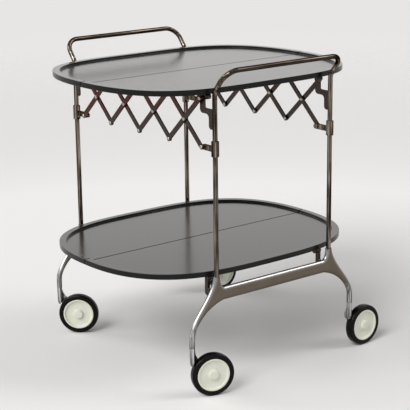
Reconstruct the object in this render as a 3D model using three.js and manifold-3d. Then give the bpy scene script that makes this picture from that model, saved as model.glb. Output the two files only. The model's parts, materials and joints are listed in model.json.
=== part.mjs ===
// Folding serving trolley: two bent-tube handle frames on cast leg bridges with four swivel casters,
// two folding trays hinged between them, and a lazy-tongs scissor on each side.
// Millimetres, +Z up. X is the folding direction, with the front frame at +X. Y runs along the handles,
// with the left side at -Y. The origin is on the floor, under the middle of the trolley.

import * as THREE from 'three';
import { mergeVertices } from 'three/addons/utils/BufferGeometryUtils.js';
import Module from 'manifold-3d';

const wasm = await Module();
wasm.setup();

// Driving dimensions of the whole trolley
const FRAME_X = 261;
const UPRIGHT_Y = 160;
const HANDLE_TOP_Z = 700;
const UPPER_TRAY_Z = 652.5;
const LOWER_TRAY_Z = 261.7;
const TRAY_HINGE_INSET = 32;
const TRAY_HINGE_DROP = 18;

// Clearances
const GAP = 0.3;
const LAYER_GAP = 0.4;
const OVERRUN = 5;

// Handle frames: one bent tube each
const TUBE_RADIUS = 5.3;
const HANDLE_LEAN = 38;
const HANDLE_RISE = 47;
const HANDLE_CORNER_RADIUS = 32;
const LEAN_BEND_RADIUS = 25;
const ROUND_STEPS = 10;
const BEND_STEPS = 4;
const BEVEL_STEPS = 1;

// Cast leg bridges
const BRIDGE_DEPTH = 14;
const BRIDGE_ROUND = 3.5;
const BEAM_TOP_Z = 230;
const BEAM_HEIGHT = 29;
const NECK_RADIUS = 7;
const NECK_TOP_Z = 256;
const NECK_FLARE = 13;
const NECK_LEAN = 1.6;
const SOCKET_DEPTH = 30;
const STEM_Y = 227.4;
const STEM_RADIUS = 6.2;
const STEM_FOOT_Z = 112;
const STEM_TOP_Z = 150;
const LEG_KNEE_Z = 138;
const LEG_ARCH_Y = 144;
const legOuterShares = [0.09, 0.37, 0.85, 0.63];
const legInnerShares = [0.11, 0.44, 0.48, 0.86];
const BRIDGE_CURVE_STEPS = 5;

// Kingpins of the casters
const KINGPIN_RADIUS = 4;
const KINGPIN_LENGTH = 24;

// Casters
const WHEEL_RADIUS = 47.5;
const WHEEL_TRAIL = 44.6;
const WHEEL_HALF_WIDTH = 9.5;
const TYRE_DEPTH = 11.5;
const TYRE_SHOULDER = 4;
const DISC_RIM_WIDTH = 3.8;
const DISC_DISH_DEPTH = 3.8;
const DISC_BOSS_RADIUS = 12;
const DISC_BOSS_RISE = 3.6;
const AXLE_RADIUS = 4;
const AXLE_HEAD_RADIUS = 6;
const AXLE_HEAD_RISE = 2;
const HUB_RADIUS = 10;
const ARM_THICK = 5.5;
const ARM_NECK_RADIUS = 5.9;
const ARM_HEEL_RADIUS = 5.2;
const ARM_TOE_RADIUS = 3.6;
const ARM_BACK = 1;
const ARM_SHOULDER_DROP = 9;
const ARM_SKIRT_DROP = 30;
const ARM_HEEL_DROP = 33;
const ARM_TOE_DROP = 41;
const WHEEL_ROOM = 2;
const WHEEL_SIDE_ROOM = 1;
const WHEEL_STEPS = 20;
const DISC_DRAFT = 1.5;
const DISC_BORE_DEPTH = 5;
const casterYawDegrees = { frontLeft: 71.5, frontRight: 91.6, rearLeft: 48, rearRight: 95 };

// Trays
const TRAY_UPPER = { halfLength: 252, halfWidth: 314, lengthPower: 2.33, widthPower: 4.12 };
const TRAY_LOWER = { halfLength: 253, halfWidth: 320, lengthPower: 2.45, widthPower: 3.3 };
const TRAY_EDGE_HEIGHT = 10.5;
const TRAY_RIM_WIDTH = 15;
const TRAY_RIM_RISE = 4;
const TRAY_EDGE_ROUND = 2.5;
const TRAY_STEPS = 48;

// Centre hinge under each tray
const CENTRE_KNUCKLE_RADIUS = 3.4;
const CENTRE_PIN_RADIUS = 1.4;
const CENTRE_HALF_LENGTH = 135;
const CENTRE_KNUCKLES = 6;
const LEAF_WIDTH = 18;
const LEAF_THICK = 1.7;

// Tray straps and brackets at the frame hinges
const HINGE_KNUCKLE_RADIUS = 6.2;
const HINGE_PIN_RADIUS = 3;
const BRACKET_OUTER_Y = 162;
const BRACKET_THICK = 3.5;
const BRACKET_BAR = 15.5;
const BRACKET_BACK = 0.5;
const BRACKET_SHELF = 11.5;
const BRACKET_SHELF_DROP = 23;
const BRACKET_FOOT_DROP = 65.5;
const BRACKET_FOOT_DEPTH = 12.5;
const BRACKET_BEND = 7;
const LUG_THICK = 6;
const LUG_BAR = 10.5;
const LUG_SHELF = 15;
const STRAP_WIDTH = 10;
const STRAP_LENGTH = 42;
const STRAP_THICK = 3.5;

// Scissors
const CELLS = 4;
const SCISSOR_TOP_DROP = 21.5;
const SCISSOR_DEPTH = 103;
const SCISSOR_END_INSET = 41;
const LINK_HALF_WIDTH = 5.5;
const LINK_THICK = 2.7;
const RIVET_HEAD_RADIUS = 4.2;
const RIVET_HEAD_RISE = 1.6;
const RIVET_TAIL_RISE = 1.3;
const RIVET_SHANK_RADIUS = 2.4;
const RIVET_STEPS = 8;
const ARC_STEPS = 3;

// Sliders on the uprights
const SLIDER_RADIUS = 8.25;
const SLIDER_HEIGHT = 32.5;
const SLIDER_LIFT = 1.8;
const SLIDER_ARM_THICK = 8;

// Derived places
const trayHingeX = FRAME_X - TRAY_HINGE_INSET;
const scissorEndX = FRAME_X - SCISSOR_END_INSET;
const cellWidth = 2 * scissorEndX / CELLS;
const scissorTopZ = UPPER_TRAY_Z - SCISSOR_TOP_DROP;
const scissorFootZ = scissorTopZ - SCISSOR_DEPTH;
const linkLength = Math.hypot(cellWidth, SCISSOR_DEPTH);
const linkAngle = Math.atan2(SCISSOR_DEPTH, cellWidth);
const layerInnerY = [BRACKET_OUTER_Y + GAP, BRACKET_OUTER_Y + GAP + LINK_THICK + LAYER_GAP];
const discR = WHEEL_RADIUS - TYRE_DEPTH;

function finish(color, roughness, metalness) {
  return new THREE.MeshStandardMaterial({ color, roughness, metalness });
}

const chrome = finish(0x8c857c, 0.12, 1);
const darkSteel = finish(0x574b45, 0.25, 1);
const castAluminium = finish(0xa39d94, 0.3, 1);
const trayPlastic = finish(0x2c2c2d, 0.4, 0);
const rubber = finish(0x141414, 0.7, 0);
const paleNylon = finish(0xd8ddcd, 0.45, 0);

// A closed three.js geometry as a solid that can be cut and joined
function solid(geometry) {
  const bare = geometry.clone();
  bare.deleteAttribute('normal');
  bare.deleteAttribute('uv');
  const merged = mergeVertices(bare);
  return new wasm.Manifold(new wasm.Mesh({
    numProp: 3,
    vertProperties: new Float32Array(merged.attributes.position.array),
    triVerts: new Uint32Array(merged.index.array),
  }));
}

function piece(name, body, material) {
  const mesh = body.getMesh();
  const geometry = new THREE.BufferGeometry();
  geometry.setAttribute('position', new THREE.BufferAttribute(mesh.vertProperties, 3));
  geometry.setIndex(new THREE.BufferAttribute(mesh.triVerts, 1));
  geometry.computeVertexNormals();
  const result = new THREE.Mesh(geometry, material);
  result.name = name;
  return result;
}

// A cylinder along Y or Z, from one place on that axis to another
function rod(axis, radius, from, to, across = [0, 0], steps = ROUND_STEPS) {
  const geometry = new THREE.CylinderGeometry(radius, radius, to - from, steps);
  geometry.translate(0, (from + to) / 2, 0);
  if (axis === 'y') {
    geometry.translate(across[0], 0, across[1]);
  } else {
    geometry.rotateX(Math.PI / 2);
    geometry.translate(across[0], across[1], 0);
  }
  return solid(geometry);
}

function block(low, high) {
  const sizes = high.map((value, axis) => value - low[axis]);
  const geometry = new THREE.BoxGeometry(...sizes);
  geometry.translate(...high.map((value, axis) => (value + low[axis]) / 2));
  return solid(geometry);
}

// A shape drawn in X and Z, standing between two places along Y
function plateXZ(shape, fromY, toY, centre = [0, 0]) {
  const geometry = new THREE.ExtrudeGeometry(shape, {
    depth: toY - fromY, bevelEnabled: false, curveSegments: ARC_STEPS,
  });
  geometry.rotateX(Math.PI / 2);
  geometry.translate(centre[0], toY, centre[1]);
  return solid(geometry);
}

// A shape drawn in Y and Z, standing between two places along X
function plateYZ(shape, fromX, toX, bevel = { bevelEnabled: false }) {
  const geometry = new THREE.ExtrudeGeometry(shape, { depth: toX - fromX, ...bevel });
  geometry.rotateX(Math.PI / 2);
  geometry.rotateZ(Math.PI / 2);
  geometry.translate(fromX, 0, 0);
  return solid(geometry);
}

// Two distances from the middle plane as places along Y on one side of it, the lower first
const span = (side, from, to) => (side < 0 ? [-to, -from] : [from, to]);

// A profile of radius and height pairs turned about Z
function revolve(profile) {
  const points = profile.map(([radius, height]) => new THREE.Vector2(radius, height));
  const geometry = new THREE.LatheGeometry(points, ROUND_STEPS);
  geometry.rotateX(Math.PI / 2);
  return solid(geometry);
}

// A profile of radius and distance towards the wheel's face, turned about the axle. The flats touch the
// true circle, and one of them faces the floor.
function wheelTurned(profile) {
  const halfStep = Math.PI / WHEEL_STEPS;
  const points = profile.map(([radius, out]) => new THREE.Vector2(radius / Math.cos(halfStep), -out));
  return solid(new THREE.LatheGeometry(points, WHEEL_STEPS, halfStep));
}

// A path through places with rounded corners, with one ring of the tube at each of its stations
class BentPath extends THREE.Curve {
  constructor(corners, radii) {
    super();
    this.stations = [corners[0]];
    for (let i = 1; i < corners.length - 1; i += 1) {
      this.addBend(corners[i - 1], corners[i], corners[i + 1], radii[i - 1]);
    }
    this.stations.push(corners[corners.length - 1]);
    this.steps = this.stations.length - 1;
  }

  addBend(before, corner, after, radius) {
    const back = before.clone().sub(corner).normalize();
    const ahead = after.clone().sub(corner).normalize();
    const half = back.angleTo(ahead) / 2;
    const centre = back.clone().add(ahead).normalize().multiplyScalar(radius / Math.sin(half)).add(corner);
    const start = back.clone().multiplyScalar(radius / Math.tan(half)).add(corner).sub(centre);
    const end = ahead.clone().multiplyScalar(radius / Math.tan(half)).add(corner).sub(centre);
    const axis = start.clone().cross(end).normalize();
    const turn = start.angleTo(end);
    for (let i = 0; i <= BEND_STEPS; i += 1) {
      this.stations.push(start.clone().applyAxisAngle(axis, turn * i / BEND_STEPS).add(centre));
    }
  }

  getPoint(share, target = new THREE.Vector3()) {
    const index = Math.min(Math.round(share * this.steps), this.steps);
    return target.copy(this.stations[index]);
  }

  getPointAt(share, target) {
    return this.getPoint(share, target);
  }

  getTangentAt(share, target = new THREE.Vector3()) {
    const index = Math.round(share * this.steps);
    const here = this.stations[index];
    const ahead = this.stations[Math.min(index + 1, this.steps)].clone().sub(here).normalize();
    const behind = here.clone().sub(this.stations[Math.max(index - 1, 0)]).normalize();
    return target.copy(ahead).add(behind).normalize();
  }
}

function circleShape(radius, sides) {
  const shape = new THREE.Shape();
  for (let i = 0; i < sides; i += 1) {
    const angle = 2 * Math.PI * i / sides;
    if (i === 0) shape.moveTo(radius, 0);
    else shape.lineTo(radius * Math.cos(angle), radius * Math.sin(angle));
  }
  shape.closePath();
  return shape;
}

// One tube: up from a socket, leaning out above the tray, along the grip and down again
function handleTube() {
  const barZ = HANDLE_TOP_Z - TUBE_RADIUS;
  const leanZ = barZ - HANDLE_RISE;
  const footZ = NECK_TOP_Z - SOCKET_DEPTH + GAP;
  const path = new BentPath([
    new THREE.Vector3(FRAME_X, -UPRIGHT_Y, footZ),
    new THREE.Vector3(FRAME_X, -UPRIGHT_Y, leanZ),
    new THREE.Vector3(FRAME_X + HANDLE_LEAN, -UPRIGHT_Y, barZ),
    new THREE.Vector3(FRAME_X + HANDLE_LEAN, UPRIGHT_Y, barZ),
    new THREE.Vector3(FRAME_X, UPRIGHT_Y, leanZ),
    new THREE.Vector3(FRAME_X, UPRIGHT_Y, footZ),
  ], [LEAN_BEND_RADIUS, HANDLE_CORNER_RADIUS, HANDLE_CORNER_RADIUS, LEAN_BEND_RADIUS]);
  return solid(new THREE.ExtrudeGeometry(circleShape(TUBE_RADIUS, ROUND_STEPS), {
    steps: path.steps, extrudePath: path, bevelEnabled: false,
  }));
}

// The outline of a leg bridge, drawn with Y across and Z up: beam, necks, and legs that arch down and out
function bridgeShape() {
  const neckIn = UPRIGHT_Y - NECK_RADIUS;
  const neckOut = UPRIGHT_Y + NECK_RADIUS;
  const beamFootZ = BEAM_TOP_Z - BEAM_HEIGHT;
  const stemOut = STEM_Y + STEM_RADIUS;
  const stemIn = STEM_Y - STEM_RADIUS;
  const blend = (from, to, share) => from + (to - from) * share;
  const [outA, outB, outC, outD] = legOuterShares;
  const [inA, inB, inC, inD] = legInnerShares;
  const half = new THREE.Path();
  half.moveTo(neckIn - NECK_FLARE, BEAM_TOP_Z);
  half.quadraticCurveTo(neckIn - NECK_LEAN, BEAM_TOP_Z, neckIn, NECK_TOP_Z);
  half.lineTo(neckOut, NECK_TOP_Z);
  half.bezierCurveTo(
    blend(neckOut, stemOut, outA), blend(NECK_TOP_Z, LEG_KNEE_Z, outB),
    blend(neckOut, stemOut, outC), blend(NECK_TOP_Z, LEG_KNEE_Z, outD),
    stemOut, LEG_KNEE_Z);
  half.lineTo(stemIn, LEG_KNEE_Z);
  half.bezierCurveTo(
    blend(stemIn, LEG_ARCH_Y, inA), blend(LEG_KNEE_Z, beamFootZ, inB),
    blend(stemIn, LEG_ARCH_Y, inC), blend(LEG_KNEE_Z, beamFootZ, inD),
    LEG_ARCH_Y, beamFootZ);
  const near = half.getPoints(BRIDGE_CURVE_STEPS);
  const far = near.map((point) => new THREE.Vector2(-point.x, point.y)).reverse();
  return new THREE.Shape([...near, ...far]);
}

// The cast lug that carries the lower tray's hinge, drawn about the hinge with the frame towards +X
function lugShape() {
  const reach = TRAY_HINGE_INSET;
  const foot = -BRACKET_SHELF_DROP - LUG_SHELF;
  const shape = new THREE.Shape();
  shape.moveTo(-HINGE_KNUCKLE_RADIUS, 0);
  shape.lineTo(-HINGE_KNUCKLE_RADIUS, foot + BRACKET_BEND);
  shape.quadraticCurveTo(-HINGE_KNUCKLE_RADIUS, foot, BRACKET_BEND - HINGE_KNUCKLE_RADIUS, foot);
  shape.lineTo(reach, foot);
  shape.lineTo(reach, -BRACKET_SHELF_DROP);
  shape.lineTo(LUG_BAR - HINGE_KNUCKLE_RADIUS, -BRACKET_SHELF_DROP);
  shape.lineTo(LUG_BAR - HINGE_KNUCKLE_RADIUS, 0);
  shape.closePath();
  return shape;
}

function legBridge() {
  const lowerHingeZ = LOWER_TRAY_Z - TRAY_HINGE_DROP;
  const flatHalf = BRIDGE_DEPTH / 2 - BRIDGE_ROUND;
  let body = plateYZ(bridgeShape(), FRAME_X - flatHalf, FRAME_X + flatHalf, {
    bevelThickness: BRIDGE_ROUND, bevelSize: BRIDGE_ROUND, bevelOffset: -BRIDGE_ROUND,
    bevelSegments: BEVEL_STEPS,
  });
  for (const side of [-1, 1]) {
    const socket = [FRAME_X, side * UPRIGHT_Y];
    const stem = [FRAME_X, side * STEM_Y];
    const [near, far] = span(side, BRACKET_OUTER_Y - LUG_THICK, BRACKET_OUTER_Y);
    const hinge = [trayHingeX, lowerHingeZ];
    const pinTop = STEM_FOOT_Z + KINGPIN_LENGTH + GAP;
    body = body
      .add(rod('z', NECK_RADIUS, BEAM_TOP_Z - BEAM_HEIGHT / 2, NECK_TOP_Z, socket))
      .add(rod('z', STEM_RADIUS, STEM_FOOT_Z, STEM_TOP_Z, stem))
      .add(plateXZ(lugShape(), near, far, hinge))
      .add(rod('y', HINGE_KNUCKLE_RADIUS, near, far, hinge))
      .subtract(rod('y', HINGE_PIN_RADIUS + GAP, near - OVERRUN, far + OVERRUN, hinge))
      .subtract(rod('z', TUBE_RADIUS + GAP, NECK_TOP_Z - SOCKET_DEPTH, NECK_TOP_Z + OVERRUN, socket))
      .subtract(rod('z', KINGPIN_RADIUS + GAP, STEM_FOOT_Z - OVERRUN, pinTop, stem));
  }
  return body;
}

// The S-shaped bracket from an upright to the upper tray's hinge, which also holds the scissor's top pivot.
// It is drawn about the hinge, with the upright towards +X.
function trayBracket(side) {
  const reach = TRAY_HINGE_INSET;
  const pivot = [scissorEndX - trayHingeX, TRAY_HINGE_DROP - SCISSOR_TOP_DROP];
  const right = BRACKET_BACK;
  const left = right - BRACKET_BAR;
  const shelf = -BRACKET_SHELF_DROP;
  const under = shelf - BRACKET_SHELF;
  const footX = reach - TUBE_RADIUS - BRACKET_FOOT_DEPTH;
  const [near, far] = span(side, BRACKET_OUTER_Y - BRACKET_THICK, BRACKET_OUTER_Y);
  const shape = new THREE.Shape();
  shape.moveTo(left, pivot[1]);
  shape.lineTo(left, under + BRACKET_BEND);
  shape.quadraticCurveTo(left, under, left + BRACKET_BEND, under);
  shape.lineTo(footX - BRACKET_BEND, under);
  shape.quadraticCurveTo(footX, under, footX, under - BRACKET_BEND);
  shape.lineTo(footX, BRACKET_BEND - BRACKET_FOOT_DROP);
  shape.lineTo(footX + BRACKET_BEND, -BRACKET_FOOT_DROP);
  shape.lineTo(reach, -BRACKET_FOOT_DROP);
  shape.lineTo(reach, shelf);
  shape.lineTo(right, shelf);
  shape.lineTo(right, 0);
  shape.lineTo(0, HINGE_KNUCKLE_RADIUS);
  shape.lineTo(pivot[0], pivot[1] + LINK_HALF_WIDTH);
  shape.closePath();
  return plateXZ(shape, near, far)
    .add(rod('y', HINGE_KNUCKLE_RADIUS, near, far))
    .add(rod('y', LINK_HALF_WIDTH, near, far, pivot))
    .subtract(rod('y', HINGE_PIN_RADIUS + GAP, near - OVERRUN, far + OVERRUN))
    .subtract(rod('y', RIVET_SHANK_RADIUS + GAP, near - OVERRUN, far + OVERRUN, pivot))
    .subtract(rod('z', TUBE_RADIUS + GAP, -BRACKET_FOOT_DROP - OVERRUN, OVERRUN, [reach, side * UPRIGHT_Y]));
}

// A sleeve that slides on an upright, with an arm to the scissor's foot. It is drawn about the upright,
// level with the scissor's foot, and reaches out to the layer that its link lies in.
function slider(side, layer) {
  const foot = [scissorEndX - FRAME_X, 0];
  const low = SLIDER_LIFT - SLIDER_HEIGHT / 2;
  const high = low + SLIDER_HEIGHT;
  const post = [0, side * UPRIGHT_Y];
  const [near, far] = span(side, BRACKET_OUTER_Y - SLIDER_ARM_THICK, BRACKET_OUTER_Y);
  const [bossNear, bossFar] = span(side, BRACKET_OUTER_Y - SLIDER_ARM_THICK, layerInnerY[layer] - LAYER_GAP);
  let body = rod('z', SLIDER_RADIUS, low, high, post)
    .add(block([foot[0], near, -LINK_HALF_WIDTH], [0, far, LINK_HALF_WIDTH]))
    .add(rod('y', LINK_HALF_WIDTH, near, far, foot));
  if (layer > 0) body = body.add(rod('y', RIVET_HEAD_RADIUS, bossNear, bossFar, foot));
  return body.subtract(rod('z', TUBE_RADIUS + GAP, low - OVERRUN, high + OVERRUN, post));
}

// The outline of a whole tray, a square with bulging sides and round corners, drawn in by an inset
function trayOutline(tray, inset) {
  const bulge = (value, power) => Math.sign(value) * Math.abs(value) ** (2 / power);
  const corner = (turn) => new THREE.Vector2(
    (tray.halfLength - inset) * bulge(Math.cos(turn), tray.lengthPower),
    (tray.halfWidth - inset) * bulge(Math.sin(turn), tray.widthPower));
  const turns = Array.from({ length: TRAY_STEPS }, (_, i) => 2 * Math.PI * i / TRAY_STEPS);
  return new THREE.Shape(turns.map(corner));
}

// Half of a tray: a moulded plate with a raised rim that stops at the seam, from its underside up
function trayHalf(tray) {
  const plate = new THREE.ExtrudeGeometry(trayOutline(tray, 0), {
    depth: TRAY_EDGE_HEIGHT - 2 * TRAY_EDGE_ROUND, bevelThickness: TRAY_EDGE_ROUND,
    bevelSize: TRAY_EDGE_ROUND, bevelOffset: -TRAY_EDGE_ROUND, bevelSegments: BEVEL_STEPS,
  });
  const well = new THREE.ExtrudeGeometry(trayOutline(tray, TRAY_RIM_WIDTH), {
    depth: TRAY_RIM_RISE + OVERRUN, bevelEnabled: false,
  });
  plate.translate(0, 0, TRAY_EDGE_ROUND);
  well.translate(0, 0, TRAY_EDGE_HEIGHT - TRAY_RIM_RISE);
  return solid(plate).subtract(solid(well)).intersect(block(
    [GAP, -tray.halfWidth - OVERRUN, -OVERRUN],
    [tray.halfLength + OVERRUN, tray.halfWidth + OVERRUN, TRAY_EDGE_HEIGHT + OVERRUN]));
}

// One leaf of a centre hinge, drawn about the hinge axis: a plate towards +X and every second knuckle.
// The leaf that owns the pin carries it through the knuckles of the other.
function hingeLeaf(ownsPin) {
  const pitch = 2 * CENTRE_HALF_LENGTH / CENTRE_KNUCKLES;
  const top = CENTRE_KNUCKLE_RADIUS + GAP;
  const clearX = CENTRE_KNUCKLE_RADIUS + LAYER_GAP + GAP;
  const end = CENTRE_HALF_LENGTH;
  const pin = (radius, overrun) => rod('y', radius, -end - overrun, end + overrun, [0, 0], RIVET_STEPS);
  let body = block([clearX, -CENTRE_HALF_LENGTH, top - LEAF_THICK], [LEAF_WIDTH, CENTRE_HALF_LENGTH, top]);
  for (let i = 0; i < CENTRE_KNUCKLES; i += 2) {
    const near = i * pitch - CENTRE_HALF_LENGTH + GAP / 2;
    const far = near + pitch - GAP;
    body = body.add(rod('y', CENTRE_KNUCKLE_RADIUS, near, far, [0, 0], RIVET_STEPS))
      .add(block([0, near, top - LEAF_THICK], [clearX + LEAF_THICK, far, top]));
  }
  if (ownsPin) return body.add(pin(CENTRE_PIN_RADIUS, 0));
  return body.subtract(pin(CENTRE_PIN_RADIUS + GAP, OVERRUN));
}

// The strap under a tray that ends in a knuckle beside its bracket or lug, with the hinge pin fixed in it
function trayStrap(side, carrierThick) {
  const top = TRAY_HINGE_DROP - TRAY_EDGE_HEIGHT - GAP;
  const outer = BRACKET_OUTER_Y - carrierThick - GAP;
  const [near, far] = span(side, outer - STRAP_WIDTH, outer);
  const [pinNear, pinFar] = span(side, outer - STRAP_WIDTH / 2, BRACKET_OUTER_Y - GAP);
  return rod('y', HINGE_KNUCKLE_RADIUS, near, far)
    .add(block([-STRAP_LENGTH, near, top - STRAP_THICK], [0, far, top]))
    .add(rod('y', HINGE_PIN_RADIUS, pinNear, pinFar));
}

// A flat scissor link drawn along X about its middle. Each of its three pivots is a hole for a neighbour's
// rivet, a rivet of its own, one head on either face, or a pin that turns in a bracket.
function scissorLink(side, layer, pivots) {
  const inner = layerInnerY[layer];
  const outer = inner + LINK_THICK;
  const tailY = layerInnerY[0] - GAP - RIVET_TAIL_RISE;
  const places = [-linkLength / 2, 0, linkLength / 2];
  const shape = new THREE.Shape();
  shape.absarc(places[2], 0, LINK_HALF_WIDTH, -Math.PI / 2, Math.PI / 2);
  shape.absarc(places[0], 0, LINK_HALF_WIDTH, Math.PI / 2, 3 * Math.PI / 2);
  const drum = (x, radius, from, to) => rod('y', radius, ...span(side, from, to), [x, 0], RIVET_STEPS);
  const head = (x) => drum(x, RIVET_HEAD_RADIUS, outer - GAP, outer + RIVET_HEAD_RISE);
  const tail = (x) => drum(x, RIVET_HEAD_RADIUS, tailY, tailY + RIVET_TAIL_RISE);
  const shank = (x, from) => drum(x, RIVET_SHANK_RADIUS, from, outer - GAP);
  const spacer = (x) => drum(x, RIVET_HEAD_RADIUS, layerInnerY[0], inner + GAP);
  const make = {
    hole: (body, x) => body.subtract(drum(x, RIVET_SHANK_RADIUS + GAP, inner - OVERRUN, outer + OVERRUN)),
    rivet: (body, x) => body.add(head(x)).add(tail(x)).add(shank(x, tailY)),
    outerHead: (body, x) => body.add(head(x)),
    innerHead: (body, x) => body.add(drum(x, RIVET_HEAD_RADIUS, inner - RIVET_TAIL_RISE, inner + GAP)),
    bracketPin: (body, x) => body.add(head(x)).add(spacer(x)).add(shank(x, BRACKET_OUTER_Y - BRACKET_THICK)),
  };
  return pivots.reduce((body, kind, index) => make[kind](body, places[index]),
    plateXZ(shape, ...span(side, inner, outer)));
}

// A caster arm drawn about its kingpin, with the wheel trailing towards +X and the arm behind it at +Y. Its
// round neck flares towards +Y into the flat arm.
function casterArm() {
  const heelZ = STEM_FOOT_Z - ARM_HEEL_DROP;
  const toeZ = STEM_FOOT_Z - ARM_TOE_DROP;
  const shoulderZ = STEM_FOOT_Z - ARM_SHOULDER_DROP;
  const innerY = WHEEL_HALF_WIDTH + WHEEL_SIDE_ROOM;
  const outerY = innerY + ARM_THICK;
  const neck = revolve([
    [0, toeZ], [ARM_TOE_RADIUS, toeZ], [ARM_HEEL_RADIUS, heelZ], [ARM_NECK_RADIUS, STEM_FOOT_Z - GAP],
    [KINGPIN_RADIUS, STEM_FOOT_Z - GAP], [KINGPIN_RADIUS, STEM_FOOT_Z + KINGPIN_LENGTH],
    [0, STEM_FOOT_Z + KINGPIN_LENGTH],
  ]);
  const shape = new THREE.Shape();
  shape.moveTo(-ARM_BACK, shoulderZ);
  shape.lineTo(-ARM_BACK, heelZ);
  shape.lineTo(0, toeZ);
  shape.quadraticCurveTo(WHEEL_TRAIL / 2, WHEEL_RADIUS, WHEEL_TRAIL - HUB_RADIUS, WHEEL_RADIUS);
  shape.absarc(WHEEL_TRAIL, WHEEL_RADIUS, HUB_RADIUS, Math.PI, 5 * Math.PI / 2);
  shape.quadraticCurveTo(HUB_RADIUS, heelZ, ARM_NECK_RADIUS, shoulderZ);
  const flare = new THREE.Shape();
  flare.moveTo(0, 0);
  flare.lineTo(outerY, 0);
  flare.lineTo(outerY, STEM_FOOT_Z - ARM_SKIRT_DROP);
  flare.lineTo(ARM_NECK_RADIUS, shoulderZ);
  flare.lineTo(0, shoulderZ);
  flare.closePath();
  const axle = [WHEEL_TRAIL, WHEEL_RADIUS];
  return neck
    .add(plateXZ(shape, 0, outerY)
      .intersect(plateYZ(flare, -ARM_BACK - OVERRUN, WHEEL_TRAIL + HUB_RADIUS + OVERRUN)))
    .subtract(rod('y', WHEEL_RADIUS + WHEEL_ROOM, -WHEEL_RADIUS, innerY, axle, WHEEL_STEPS))
    .subtract(rod('y', AXLE_RADIUS + GAP, -OVERRUN, outerY + OVERRUN, axle));
}

// The axle, drawn along Y about the wheel's centre, headed on the outside of the arm
function wheelAxle() {
  const armY = WHEEL_HALF_WIDTH + WHEEL_SIDE_ROOM + ARM_THICK;
  return rod('y', AXLE_RADIUS, GAP - DISC_BORE_DEPTH, armY + GAP + AXLE_HEAD_RISE)
    .add(rod('y', AXLE_HEAD_RADIUS, armY + GAP, armY + GAP + AXLE_HEAD_RISE));
}

// The nylon disc: a dished face with a centre boss towards -Y, a dished back with a hub, and a blind bore
function wheelDisc() {
  const face = WHEEL_HALF_WIDTH;
  const dish = face - DISC_DISH_DEPTH;
  const bossTop = dish + DISC_BOSS_RISE;
  const rimR = discR - DISC_RIM_WIDTH;
  return wheelTurned([
    [0, bossTop], [DISC_BOSS_RADIUS - DISC_DRAFT, bossTop], [DISC_BOSS_RADIUS, dish],
    [rimR - DISC_DRAFT, dish], [rimR, face], [discR, face], [discR, -face], [rimR, -face],
    [rimR - DISC_DRAFT, -dish], [HUB_RADIUS + DISC_DRAFT, -dish], [HUB_RADIUS, -face],
    [AXLE_RADIUS + GAP, -face], [AXLE_RADIUS + GAP, DISC_BORE_DEPTH], [0, DISC_BORE_DEPTH],
  ]);
}

function tyre() {
  const inside = discR + GAP;
  const shoulder = WHEEL_RADIUS - TYRE_SHOULDER;
  const tread = WHEEL_HALF_WIDTH - TYRE_SHOULDER;
  return wheelTurned([
    [inside, WHEEL_HALF_WIDTH], [shoulder, WHEEL_HALF_WIDTH], [WHEEL_RADIUS, tread], [WHEEL_RADIUS, -tread],
    [shoulder, -WHEEL_HALF_WIDTH], [inside, -WHEEL_HALF_WIDTH], [inside, WHEEL_HALF_WIDTH],
  ]);
}

const trolley = new THREE.Group();

// Each end is drawn as the front one. The rear end is the same turned half round, so its sides swap.
function addEnd(end, turn, layer) {
  const group = new THREE.Group();
  const sideName = (side) => (side * Math.cos(turn) < 0 ? 'left' : 'right');
  const place = (mesh, x, z) => {
    mesh.position.set(x, 0, z);
    group.add(mesh);
  };
  group.rotation.z = turn;
  place(piece(`${end}_handle_tube`, handleTube(), chrome), 0, 0);
  place(piece(`${end}_leg_bridge`, legBridge(), castAluminium), 0, 0);
  for (const side of [-1, 1]) {
    const label = `${end}_${sideName(side)}`;
    place(piece(`${label}_tray_bracket`, trayBracket(side), darkSteel),
      trayHingeX, UPPER_TRAY_Z - TRAY_HINGE_DROP);
    place(piece(`${label}_slider`, slider(side, layer), chrome), FRAME_X, scissorFootZ);
  }
  const levels = [
    ['upper', TRAY_UPPER, UPPER_TRAY_Z, BRACKET_THICK],
    ['lower', TRAY_LOWER, LOWER_TRAY_Z, LUG_THICK],
  ];
  for (const [level, tray, trayZ, carrierThick] of levels) {
    const underZ = trayZ - TRAY_EDGE_HEIGHT;
    place(piece(`${level}_${end}_tray`, trayHalf(tray), trayPlastic), 0, underZ);
    place(piece(`${level}_${end}_hinge_leaf`, hingeLeaf(end === 'front'), darkSteel),
      0, underZ - CENTRE_KNUCKLE_RADIUS - 2 * GAP);
    for (const side of [-1, 1]) {
      place(piece(`${level}_${end}_${sideName(side)}_strap`, trayStrap(side, carrierThick), darkSteel),
        trayHingeX, trayZ - TRAY_HINGE_DROP);
    }
  }
  trolley.add(group);
}

// The pivots of each link from the rear to the front. Falling links lie in the inner layer and run from a
// top pivot to the next foot. Rising links lie in the outer layer and hold the rivets.
const fallingPivots = [
  ['bracketPin', 'hole', 'hole'],
  ['hole', 'hole', 'innerHead'],
  ['innerHead', 'hole', 'hole'],
  ['hole', 'hole', 'outerHead'],
];
const risingPivots = [
  ['outerHead', 'rivet', 'rivet'],
  ['rivet', 'rivet', 'outerHead'],
  ['outerHead', 'rivet', 'rivet'],
  ['rivet', 'rivet', 'bracketPin'],
];

function addScissor(side) {
  const sideName = side < 0 ? 'left' : 'right';
  const middleZ = (scissorTopZ + scissorFootZ) / 2;
  for (let cell = 0; cell < CELLS; cell += 1) {
    const falling = piece(`${sideName}_falling_link_${cell + 1}`,
      scissorLink(side, 0, fallingPivots[cell]), darkSteel);
    const rising = piece(`${sideName}_rising_link_${cell + 1}`,
      scissorLink(side, 1, risingPivots[cell]), darkSteel);
    for (const [link, tilt] of [[falling, linkAngle], [rising, -linkAngle]]) {
      link.rotation.y = tilt;
      link.position.set((cell + 0.5) * cellWidth - scissorEndX, 0, middleZ);
      trolley.add(link);
    }
  }
}

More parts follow.
